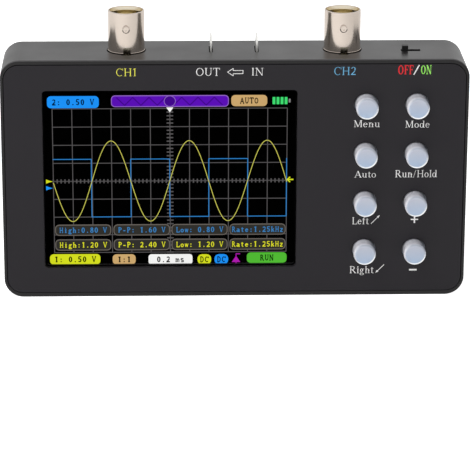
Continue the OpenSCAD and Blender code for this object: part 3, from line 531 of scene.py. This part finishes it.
# letters on a line of capitals one unit high: width, then strokes.
# stem, hair and slab run from one point to another: a thick upright with serifs, a thin line, a thick line.
# bowl is part of a ring: centre, radii, first and last angle
glyphs = {
    "A": (0.94, [("hair", 0.1, 0, 0.47, 1), ("slab", 0.47, 0.98, 0.83, 0),
                 ("hair", 0.24, 0.34, 0.66, 0.34), ("hair", 0, 0.03, 0.24, 0.03),
                 ("hair", 0.68, 0.03, 0.96, 0.03)]),
    "a": (0.64, [("bowl", 0.28, 0.19, 0.23, 0.2, 0, 360), ("slab", 0.5, 0, 0.5, 0.5),
                 ("bowl", 0.3, 0.46, 0.23, 0.19, 0, 150), ("hair", 0.5, 0.03, 0.62, 0.03)]),
    "C": (0.9, [("bowl", 0.48, 0.5, 0.44, 0.5, 48, 312), ("hair", 0.84, 0.7, 0.84, 0.98)]),
    "D": (0.96, [("stem", 0.2, 0, 0.2, 1), ("bowl", 0.42, 0.5, 0.46, 0.5, -90, 90),
                 ("hair", 0.2, 0.97, 0.44, 0.97), ("hair", 0.2, 0.03, 0.44, 0.03)]),
    "F": (0.74, [("stem", 0.22, 0, 0.22, 1), ("hair", 0.2, 0.97, 0.7, 0.97),
                 ("hair", 0.7, 0.97, 0.7, 0.76), ("hair", 0.2, 0.52, 0.54, 0.52),
                 ("hair", 0.54, 0.42, 0.54, 0.62)]),
    "H": (1.0, [("stem", 0.19, 0, 0.19, 1), ("stem", 0.81, 0, 0.81, 1), ("hair", 0.19, 0.5, 0.81, 0.5)]),
    "I": (0.42, [("stem", 0.21, 0, 0.21, 1)]),
    "L": (0.8, [("stem", 0.22, 0, 0.22, 1), ("hair", 0.2, 0.03, 0.76, 0.03),
                ("hair", 0.76, 0.03, 0.76, 0.27)]),
    "M": (1.16, [("hair", 0.17, 0, 0.17, 1), ("stem", 0.97, 0, 0.97, 1), ("slab", 0.18, 1, 0.56, 0.06),
                 ("hair", 0.57, 0.04, 0.95, 1), ("hair", 0.04, 0.03, 0.31, 0.03),
                 ("hair", 0.04, 0.97, 0.2, 0.97)]),
    "N": (1.0, [("hair", 0.17, 0, 0.17, 1), ("hair", 0.85, 0, 0.85, 1), ("slab", 0.17, 1, 0.85, 0),
                ("hair", 0.03, 0.03, 0.31, 0.03), ("hair", 0.7, 0.97, 0.99, 0.97),
                ("hair", 0.02, 0.97, 0.2, 0.97)]),
    "O": (0.98, [("bowl", 0.49, 0.5, 0.45, 0.5, 0, 360)]),
    "P": (0.76, [("stem", 0.2, 0, 0.2, 1), ("bowl", 0.4, 0.72, 0.32, 0.28, -90, 90),
                 ("hair", 0.2, 0.97, 0.42, 0.97), ("hair", 0.2, 0.47, 0.42, 0.47)]),
    "R": (0.94, [("stem", 0.2, 0, 0.2, 1), ("bowl", 0.42, 0.74, 0.3, 0.26, -90, 90),
                 ("hair", 0.2, 0.97, 0.42, 0.97), ("hair", 0.2, 0.5, 0.44, 0.5),
                 ("slab", 0.42, 0.5, 0.82, 0.02), ("hair", 0.78, 0.03, 0.95, 0.03)]),
    "T": (0.84, [("stem", 0.42, 0, 0.42, 0.98), ("hair", 0.04, 0.97, 0.8, 0.97),
                 ("hair", 0.05, 0.76, 0.05, 0.98), ("hair", 0.79, 0.76, 0.79, 0.98)]),
    "U": (0.98, [("slab", 0.2, 0.34, 0.2, 1), ("hair", 0.8, 0.34, 0.8, 1),
                 ("bowl", 0.48, 0.36, 0.355, 0.36, 180, 360), ("hair", 0.04, 0.97, 0.36, 0.97),
                 ("hair", 0.66, 0.97, 0.94, 0.97)]),
    "V": (0.94, [("slab", 0.12, 1, 0.48, 0.02), ("hair", 0.49, 0.02, 0.84, 1),
                 ("hair", 0, 0.97, 0.28, 0.97), ("hair", 0.7, 0.97, 0.96, 0.97)]),
    "0": (0.64, [("bowl", 0.32, 0.5, 0.28, 0.5, 0, 360)]),
    "1": (0.5, [("stem", 0.28, 0, 0.28, 0.99), ("hair", 0.08, 0.84, 0.28, 0.98)]),
    "2": (0.64, [("bowl", 0.32, 0.72, 0.26, 0.28, -35, 165), ("slab", 0.5, 0.52, 0.1, 0.06),
                 ("slab", 0.05, 0.07, 0.6, 0.07)]),
    "4": (0.66, [("slab", 0.48, 0, 0.48, 1), ("hair", 0.46, 0.98, 0.04, 0.32),
                 ("hair", 0.03, 0.3, 0.64, 0.3)]),
    "5": (0.62, [("bowl", 0.28, 0.33, 0.29, 0.33, -150, 125), ("hair", 0.13, 0.5, 0.15, 0.97),
                 ("hair", 0.14, 0.95, 0.54, 0.95)]),
    "6": (0.64, [("bowl", 0.33, 0.31, 0.28, 0.31, 0, 360), ("bowl", 0.5, 0.42, 0.45, 0.58, 95, 185)]),
    "8": (0.64, [("bowl", 0.32, 0.27, 0.28, 0.27, 0, 360), ("bowl", 0.32, 0.75, 0.24, 0.25, 0, 360)]),
    "d": (0.72, [("bowl", 0.29, 0.32, 0.26, 0.33, 0, 360), ("slab", 0.55, 0, 0.55, 1),
                 ("hair", 0.42, 0.97, 0.55, 0.97), ("hair", 0.55, 0.03, 0.7, 0.03)]),
    "e": (0.62, [("bowl", 0.31, 0.32, 0.28, 0.33, 10, 322), ("hair", 0.06, 0.37, 0.57, 0.37)]),
    "f": (0.48, [("stem", 0.2, 0, 0.2, 0.8), ("bowl", 0.37, 0.78, 0.2, 0.22, 60, 180),
                 ("hair", 0.04, 0.63, 0.42, 0.63)]),
    "g": (0.66, [("bowl", 0.29, 0.43, 0.21, 0.22, 0, 360), ("bowl", 0.31, -0.12, 0.29, 0.16, 0, 360),
                 ("hair", 0.14, 0.22, 0.1, 0.08), ("hair", 0.1, 0.04, 0.46, 0.03),
                 ("hair", 0.42, 0.6, 0.62, 0.6)]),
    "h": (0.74, [("stem", 0.18, 0, 0.18, 1), ("bowl", 0.38, 0.43, 0.24, 0.22, 0, 180),
                 ("stem", 0.555, 0, 0.555, 0.44)]),
    "i": (0.36, [("stem", 0.18, 0, 0.18, 0.65), ("disc", 0.17, 0.88, 0.09)]),
    "k": (0.72, [("stem", 0.18, 0, 0.18, 1), ("hair", 0.2, 0.28, 0.56, 0.62),
                 ("slab", 0.3, 0.4, 0.62, 0.02)]),
    "l": (0.36, [("stem", 0.18, 0, 0.18, 1)]),
    "m": (1.0, [("stem", 0.15, 0, 0.15, 0.65), ("bowl", 0.33, 0.43, 0.22, 0.22, 0, 180),
                ("slab", 0.5, 0, 0.5, 0.44), ("bowl", 0.68, 0.43, 0.22, 0.22, 0, 180),
                ("slab", 0.85, 0, 0.85, 0.44)]),
    "n": (0.74, [("stem", 0.18, 0, 0.18, 0.65), ("bowl", 0.38, 0.43, 0.24, 0.22, 0, 180),
                 ("stem", 0.555, 0, 0.555, 0.44)]),
    "o": (0.66, [("bowl", 0.33, 0.32, 0.29, 0.33, 0, 360)]),
    "s": (0.54, [("hair", 0.1, 0.6, 0.46, 0.6), ("hair", 0.1, 0.6, 0.1, 0.38),
                 ("hair", 0.1, 0.35, 0.46, 0.3), ("hair", 0.46, 0.28, 0.46, 0.05),
                 ("hair", 0.08, 0.05, 0.46, 0.05)]),
    "t": (0.44, [("slab", 0.2, 0.12, 0.2, 0.84), ("bowl", 0.31, 0.14, 0.18, 0.15, 180, 320),
                 ("hair", 0.03, 0.63, 0.42, 0.63)]),
    "u": (0.74, [("slab", 0.18, 0.2, 0.18, 0.65), ("bowl", 0.36, 0.22, 0.25, 0.22, 180, 360),
                 ("slab", 0.555, 0, 0.555, 0.65), ("hair", 0.04, 0.63, 0.18, 0.63),
                 ("hair", 0.42, 0.63, 0.55, 0.63), ("hair", 0.55, 0.03, 0.7, 0.03)]),
    "w": (0.92, [("slab", 0.1, 0.65, 0.28, 0.02), ("hair", 0.28, 0.02, 0.46, 0.62),
                 ("slab", 0.46, 0.65, 0.64, 0.02), ("hair", 0.65, 0.02, 0.84, 0.65)]),
    "z": (0.56, [("hair", 0.06, 0.62, 0.5, 0.62), ("slab", 0.46, 0.6, 0.1, 0.05),
                 ("hair", 0.06, 0.03, 0.52, 0.03)]),
    "/": (0.5, [("hair", 0.06, -0.04, 0.42, 1.02)]),
    ".": (0.4, [("disc", 0.2, 0.1, 0.1)]),
    ":": (0.4, [("disc", 0.2, 0.12, 0.1), ("disc", 0.2, 0.55, 0.1)]),
    "-": (0.5, [("slab", 0.06, 0.36, 0.44, 0.36)]),
}
fonts = {
    # in capital heights; pitch gives every letter a cell of that width
    "label": {"thick": 0.11, "thin": 0.05, "serif": 0.08, "gap": 0.05, "space": 0.3, "pitch": None},
    "narrow": {"thick": 0.22, "thin": 0.09, "serif": 0.05, "gap": 0.06, "space": 0.3, "pitch": None},
    "pill": {"thick": 0.21, "thin": 0.17, "serif": 0.05, "gap": 0.0, "space": 0.75, "pitch": 0.75},
    "reading": {"thick": 0.17, "thin": 0.14, "serif": 0.05, "gap": 0.0, "space": 0.75, "pitch": 0.75},
}


def strokeOutlines(kind, numbers, font):
    if kind == "disc":
        return [disc(numbers[:2], max(numbers[2], font["thick"] / 2))]
    if kind == "bowl":
        x, y, rx, ry, first, last = numbers
        steps = max(2, round((last - first) / 18))
        turns = [math.radians(first + (last - first) * i / steps) for i in range(steps + 1)]
        outer = [(x + rx * math.cos(t), y + ry * math.sin(t)) for t in turns]
        innerX, innerY = max(rx - font["thick"], rx * 0.25), max(ry - font["thin"], ry * 0.25)
        inner = [(x + innerX * math.cos(t), y + innerY * math.sin(t)) for t in turns]
        return [[outer[i], outer[i + 1], inner[i + 1], inner[i]] for i in range(steps)]
    x0, y0, x1, y1 = numbers
    outlines = [bar((x0, y0), (x1, y1), font["thin"] if kind == "hair" else font["thick"])]
    if kind == "stem":
        reach = font["thick"] / 2 + font["serif"]
        half = font["thin"] / 2
        for y in (y0 + half, y1 - half):
            outlines.append(bar((x0 - reach, y), (x0 + reach, y), font["thin"]))
    return outlines


# a line of text in capital heights, one group of outlines to a letter, and its width
def textGroups(text, font):
    groups, x = [], 0
    for letter in text:
        if letter == " ":
            x += font["space"]
            continue
        width, strokes = glyphs[letter]
        cell = font["pitch"] or width + font["gap"]
        squeeze = min(1, 0.86 * cell / width) if font["pitch"] else 1
        start = x + (cell - width * squeeze) / 2
        groups.append([[(start + px * squeeze, py) for px, py in outline] for kind, *numbers in strokes
                       for outline in strokeOutlines(kind, numbers, font)])
        x += cell
    return groups, x


# the text stretched to a place: left end, baseline, width and capital height
def placedText(text, font, left, base, width, height):
    groups, length = textGroups(text, font)
    return [[[(left + x * width / length, base + y * height) for x, y in outline] for outline in group]
            for group in groups]


# screen-printed ink: opaque and matt, a little uneven where the mesh of the screen left it thin
def ink(name, colour, second):
    return surface(name, colour, second, 0.55, 0.25, 0.004, cloud=1.2)


inks = {
    "white": ink("inkWhite", "#FCFBFA", "#EAE8E8"),
    "yellow": ink("inkYellow", "#EEEA5C", "#DCD844"),
    "blue": ink("inkBlue", "#78BCE0", "#5EA6D2"),
    "red": ink("inkRed", "#E8202A", "#C8141E"),
    "green": ink("inkGreen", "#A8F070", "#7CD848"),
}
labels = {
    # name: text, font, ink, node it belongs to, then in mm from that node's middle and the face's top edge or
    # the cap's middle: left end, baseline, width, capital height
    "ch1": ("CH1", "label", "yellow", "jack_shell_left", -2.7, -4.2, 5.43, 2.05),
    "ch2": ("CH2", "label", "blue", "jack_shell_right", -2.79, -4.15, 5.79, 2.15),
    "out": ("OUT", "label", "white", "tab_out", -4.14, -4.2, 6.33, 2.08),
    "in": ("IN", "label", "white", "tab_in", -1.77, -4.15, 3.26, 2.0),
    "off": ("OFF", "narrow", "red", "power_switch_base", -4.06, -4.05, 4.1, 2.45),
    "on": ("ON", "narrow", "green", "power_switch_base", 1.83, -4.0, 2.85, 2.35),
    "menu": ("Menu", "label", "white", "cap_menu", -3.28, -5.9, 6.94, 1.83),
    "mode": ("Mode", "label", "white", "cap_mode", -3.08, -6.1, 6.52, 1.85),
    "auto": ("Auto", "label", "white", "cap_auto", -2.84, -6.37, 5.75, 1.8),
    "hold": ("Run/Hold", "label", "white", "cap_hold", -5.43, -6.38, 11.09, 1.95),
    "left": ("Left", "label", "white", "cap_left", -3.34, -5.99, 4.54, 1.9),
    "right": ("Right", "label", "white", "cap_right", -3.74, -6.38, 6.48, 1.95),
}
signs = {
    # in mm, but for the thickness
    "plus": (0.0, -4.75, 0.97),       # middle from the cap's middle, and half its width
    "minus": (-0.09, -5.5, 1.0),
    "bar": 0.4,                       # thickness of the plus sign's upright
    "thickness": {"plus": 0.8, "minus": 1.15, "slash": 0.75},   # of the other strokes, in bars
    "slash": (0.1, -4.15, 1.48, -1.55),         # ends from the switch's middle and the face's top edge
    "arrowLeft": (1.77, -5.85, 4.05, -3.5),     # tail and tip from the cap's middle
    "arrowRight": (5.4, -4.03, 3.13, -6.32),
    "arrowLine": 0.17,
    "arrowHead": (0.85, 0.62),        # length and width
    "flowTip": 1.98,                  # half the length of the arrow between the tabs
    "flowHead": (1.45, 0.98),         # length and half width
    "flowShaft": 0.42,                # half width
    "flowLine": 0.16,
    "flowUp": -3.24,                  # from the face's top edge
}


def middleOf(node):
    low, high = boxOf(node)
    return [(a + b) / 2 for a, b in zip(low, high)]


def slimArrow(tail, tip):
    along = (Vector(tip) - Vector(tail)).normalized()
    across = Vector((-along.y, along.x))
    length, width = signs["arrowHead"]
    foot = Vector(tip) - along * length
    head = [tuple(tip), tuple(foot + across * width / 2), tuple(foot - across * width / 2)]
    return [bar(tail, tuple(foot), signs["arrowLine"]), head]


def flowArrow(middle, height):
    tip, (head, half), shaft = signs["flowTip"], signs["flowHead"], signs["flowShaft"]
    corners = [(-tip, 0), (head - tip, half), (head - tip, shaft), (tip, shaft), (tip, -shaft),
               (head - tip, -shaft), (head - tip, -half), (-tip, 0), (head - tip, half)]
    return lineThrough([(middle + x, height + y) for x, y in corners], signs["flowLine"])


def printLabels():
    face = boxOf("front_cover")[0][1]
    top = boxOf("back_cover")[1][2]
    groups = {name: [] for name in inks}
    for text, font, colour, node, left, base, width, height in labels.values():
        x, _, z = middleOf(node)
        level = z if node.startswith("cap_") else top
        groups[colour] += placedText(text, fonts[font], x + left, level + base, width, height)
    thickness = {sign: signs["bar"] * times for sign, times in signs["thickness"].items()}
    for sign in ("plus", "minus"):
        x, _, z = middleOf("cap_" + sign)
        right, up, half = signs[sign]
        level = [bar((x + right - half, z + up), (x + right + half, z + up), thickness[sign])]
        upright = [bar((x + right, z + up - half), (x + right, z + up + half), signs["bar"])]
        groups["white"].append(level + upright if sign == "plus" else level)
    x = middleOf("power_switch_base")[0]
    x0, z0, x1, z1 = signs["slash"]
    groups["white"].append([bar((x + x0, top + z0), (x + x1, top + z1), thickness["slash"])])
    for cap, sign in (("cap_left", "arrowLeft"), ("cap_right", "arrowRight")):
        x, _, z = middleOf(cap)
        x0, z0, x1, z1 = signs[sign]
        groups["white"].append(slimArrow((x + x0, z + z0), (x + x1, z + z1)))
    groups["white"].append(flowArrow(0.0, top + signs["flowUp"]))
    for colour, shapes in groups.items():
        makePrint("label_" + colour, shapes, face, prints["inkLift"], inks[colour])


printLabels()
print("labels printed:", len(labels))

# the shown picture, in the display's own pixels from its top left corner: a grid, two traces and plain
# readings
display = {
    "pixels": (320, 240),
    "pixel": (0.2023, 0.1955),      # mm across and up
    "raised": 0.06,                 # mm that the picture sits above the window's middle
    "grid": (10, 25, 310, 225),
    "square": 25,
    "gridLine": 1.05,
    "tickStep": 5,
    "tickHalf": (2.8, 4.2),         # half length of the ticks on the level axis and on the upright one
    "tickLine": 1.7,
    "wave": {"middle": 125.2, "height": 56, "start": 9.5, "length": 100, "line": 0.85},
    "pulse": {"high": 94.5, "low": 174.9, "edges": (10, 59, 109.5, 159.5, 209.7, 259.7, 309.7), "line": 1.05},
    "boxRadius": 5.5,
    "boxLine": 1.2,
    "letterHeight": {"pill": 8.1, "reading": 7.5},
    "glowCloud": 12,                # mm, size of the backlight's uneven spots
    "glowSpread": 0.04,             # share by which they differ
}
readings = {
    # column: left, right, text of the second channel, text of the first
    "top": (11.1, 83.5, "High:0.80 V", "High:1.20 V"),
    "span": (86.5, 159.4, "P-P: 1.60 V", "P-P: 2.40 V"),
    "bottom": (161.5, 234, "Low: 0.80 V", "Low: 1.20 V"),
    "rate": (236.5, 309.2, "Rate:1.25kHz", "Rate:1.25kHz"),
}
readingRows = {"second": (185.5, 201), "first": (206.2, 222)}
pills = {
    # name: box, corner, colour, text, its colour
    "scaleTwo": ((3.7, 7.6, 69.6, 23.9), 5, "blue", "2: 0.50 V", "blueDeep"),
    "mode": ((238.4, 7.0, 284.2, 22.2), 5, "tan", "AUTO", "brownDeep"),
    "scaleOne": ((3.8, 227.2, 69.1, 241.6), 5, "yellow", "1: 0.50 V", "oliveDeep"),
    "probe": ((85, 227.8, 114.8, 242), 5, "tan", "1:1", "brownDeep"),
    "time": ((131.5, 228, 188.5, 242.2), 4, "white", "0.2 ms", "greyDeep"),
    "inputOne": ((195.1, 228.4, 212.8, 242.6), 6, "yellow", "DC", "oliveDeep"),
    "inputTwo": ((217.1, 228.4, 234.9, 242.6), 6, "blue", "DC", "blueDeep"),
    "state": ((259.1, 226.3, 310.8, 240.9), 5, "green", "RUN", "greenDeep"),
}
# the bar that stands for the whole record, with the shown part's mark in its middle
recordBar = {
    "box": ((85.2, 6.9), (235.2, 22.7), 5),     # two corners, their radius
    "rim": 1,
    "zigzag": (92, 228, 10.4, 9.6, 20.4),       # from, to, step, upper and lower end
    "zigzagLine": 1.4,
    "mark": (160, 14.8),
    "markRadii": (7.6, 6.8),
    "markSteps": 24,
}
battery = {
    "cells": 4,
    "cell": ((291, 10), (294.6, 19.7), 0.5),    # the first cell: two corners, their radius
    "step": 5.15,
    "nub": ((311.6, 12.4), (313.9, 17.4), 0.5),
}
# filled marks at the grid's edges: the time and the two channels' zero, each with its colour
edgeMarks = {
    "time": ("white", [(155.6, 23.6), (164.4, 23.6), (160, 30.2)]),
    "zeroOne": ("yellow", [(0.6, 122.2), (0.6, 127.8), (4.6, 126.2), (9, 125), (4.6, 123.8)]),
    "zeroTwo": ("blue", [(0.6, 131.4), (0.6, 137.2), (4.6, 135.6), (9, 134.3), (4.6, 133)]),
}
# arrow at the level of the trigger, and the sign for a rising edge
levelMark = {
    "shaft": ((310.6, 123.8), (318.6, 123.8), 1.7),     # two ends and the line's width
    "head": ([(314.4, 120.2), (310.6, 123.8), (314.4, 127.4)], 1.3),
}
risingEdge = {
    "foot": [(239.6, 239.6), (250.6, 239.6), (245.1, 231)],
    "line": ([(241, 243.4), (245.1, 243.4), (245.1, 228), (250.4, 228)], 1.1),
}
shownColours = {
    "grid": "#565455", "traceYellow": "#D0CE5C", "traceBlue": "#2E84CC", "boxFill": "#33322E",
    "boxRim": "#6C6660", "readingYellow": "#E6E62A", "readingBlue": "#3C86C6",
    "blue": "#1E96FF", "blueDeep": "#041E44", "tan": "#D2AC72", "brownDeep": "#241804",
    "yellow": "#DCE622", "oliveDeep": "#2A2E02", "white": "#FCFCFB", "greyDeep": "#101012",
    "green": "#53BE36", "greenDeep": "#062E04", "purple": "#5E12BC", "purpleDeep": "#430A8E",
    "purplePale": "#9A6CC8", "magenta": "#B41EB4", "charge": "#42E475", "nub": "#8C8C8C",
}


# light from the panel: each cell gives one colour, a little uneven over the backlight
def shownLight(name, colour):
    material = bpy.data.materials.new("shown_" + name)
    tree = freshTree(material)
    broad = noise(tree, display["glowCloud"], 1.0)
    ends = (1 - display["glowSpread"], 1 + display["glowSpread"])
    level = share(tree, broad, 0, *finish["noise"], ends)
    shader = addNode(tree, "ShaderNodeBsdfPrincipled",
                     {"Base Color": (0, 0, 0, 1), "Roughness": 0.4, "Specular IOR Level": 0.0,
                      "Emission Color": linear(colour)}, {"Emission Strength": (level, 0)})
    addNode(tree, "ShaderNodeOutputMaterial", links={"Surface": (shader, 0)})
    return material


def shownText(text, left, right, top, bottom, font):
    groups, length = textGroups(text, fonts[font])
    size = display["letterHeight"][font]
    start = (left + right - length * size) / 2
    base = (top + bottom + size) / 2
    return [[[(start + x * size, base - y * size) for x, y in outline] for outline in group]
            for group in groups]


def gridOutlines():
    left, top, right, bottom = display["grid"]
    step, line = display["square"], display["gridLine"]
    outlines = [bar((x, top), (x, bottom), line) for x in range(left, right + 1, step)]
    outlines += [bar((left, y), (right, y), line) for y in range(top, bottom + 1, step)]
    middle = ((left + right) / 2, (top + bottom) / 2)
    levelHalf, uprightHalf = display["tickHalf"]
    for x in range(left, right + 1, display["tickStep"]):
        outlines.append(bar((x, middle[1] - levelHalf), (x, middle[1] + levelHalf), display["tickLine"]))
    for y in range(top, bottom + 1, display["tickStep"]):
        outlines.append(bar((middle[0] - uprightHalf, y), (middle[0] + uprightHalf, y), display["tickLine"]))
    return outlines


def waveOutlines():
    wave = display["wave"]
    left, _, right, _ = display["grid"]
    turns = {x: 2 * math.pi * (x - wave["start"]) / wave["length"] for x in range(left, right + 1, 2)}
    points = [(x, wave["middle"] + wave["height"] * math.sin(turn)) for x, turn in turns.items()]
    return lineThrough(points, wave["line"])


def pulseOutlines():
    pulse = display["pulse"]
    points, level = [], "high"
    for edge, after in zip(pulse["edges"], pulse["edges"][1:]):
        points += [(edge, pulse[level]), (after, pulse[level])]
        level = "low" if level == "high" else "high"
    points.append((points[-1][0], pulse["high"]))
    return lineThrough(points, pulse["line"], square=True)


def drawPicture():
    middleX, _, middleZ = middleOf("screen_window")
    wide, tall = display["pixel"]
    halfWide, halfTall = (n / 2 for n in display["pixels"])
    ground = boxOf("lcd_glass")[0][1]
    layers = {}

    def draw(layer, colour, *groups):
        layers.setdefault((layer, colour), []).extend(groups)

    draw(1, "grid", gridOutlines())
    draw(2, "traceBlue", pulseOutlines())
    draw(3, "traceYellow", waveOutlines())
    for left, right, second, first in readings.values():
        for row, text, colour in (("second", second, "readingBlue"), ("first", first, "readingYellow")):
            top, bottom = readingRows[row]
            box, rim = rimmed((left, top), (right, bottom), display["boxRadius"], display["boxLine"])
            draw(4, "boxFill", [box])
            draw(5, "boxRim", rim)
            draw(5, colour, *shownText(text, left, right, top, bottom, "reading"))
    for (left, top, right, bottom), corner, colour, text, textColour in pills.values():
        draw(4, colour, [rounded((left, top), (right, bottom), corner)])
        draw(5, textColour, *shownText(text, left, right, top, bottom, "pill"))

    box, rim = rimmed(*recordBar["box"], recordBar["rim"])
    draw(4, "purple", [box])
    draw(5, "purplePale", rim)
    start, end, step, up, down = recordBar["zigzag"]
    turns = [(start + i * step, down if i % 2 else up) for i in range(int((end - start) / step) + 1)]
    draw(5, "purpleDeep", lineThrough(turns, recordBar["zigzagLine"]))
    middle, steps = recordBar["mark"], recordBar["markSteps"]
    ring, centre = (disc(middle, radius, steps) for radius in recordBar["markRadii"])
    draw(6, "purplePale", strip(ring, centre))
    draw(6, "purpleDeep", [centre])

    (x0, y0), (x1, y1), corner = battery["cell"]
    for i in range(battery["cells"]):
        draw(4, "charge", [rounded((x0 + battery["step"] * i, y0), (x1 + battery["step"] * i, y1), corner)])
    draw(4, "nub", [rounded(*battery["nub"])])

    for colour, outline in edgeMarks.values():
        draw(5, colour, [outline])
    draw(5, "yellow", [bar(*levelMark["shaft"])] + lineThrough(*levelMark["head"]))
    draw(5, "magenta", [risingEdge["foot"]] + lineThrough(*risingEdge["line"]))

    for (layer, colour), groups in layers.items():
        placed = [[[(middleX + (x - halfWide) * wide, middleZ + display["raised"] + (halfTall - y) * tall)
                    for x, y in outline] for outline in group] for group in groups]
        makePrint(f"shown_{layer}_{colour}", placed, ground, layer * prints["layer"], shownMaterials[colour])


# black ink round the back of the window pane, over the ledge that carries it
border = {
    "play": 0.08,       # mm between the print and the pane's edge
    "corner": 1.0,      # mm
    "width": 0.36,      # mm
    "depth": 0.02,      # mm in front of the pane's back
    "lift": 0.01,       # mm that it stands out of its ground
}


def printBorder():
    low, high = boxOf("screen_window")
    play = border["play"]
    _, rim = rimmed((low[0] + play, low[2] + play), (high[0] - play, high[2] - play),
                    border["corner"], border["width"])
    black = surface("borderInk", "#030303", "#060606", 0.5, 0.3, 0.002, gloss=0.0)
    ground = high[1] - border["depth"] - prints["root"]
    makePrint("window_border", [rim], ground, border["lift"], black)


printBorder()
shownMaterials = {name: shownLight(name, colour) for name, colour in shownColours.items()}
drawPicture()
print("picture drawn")
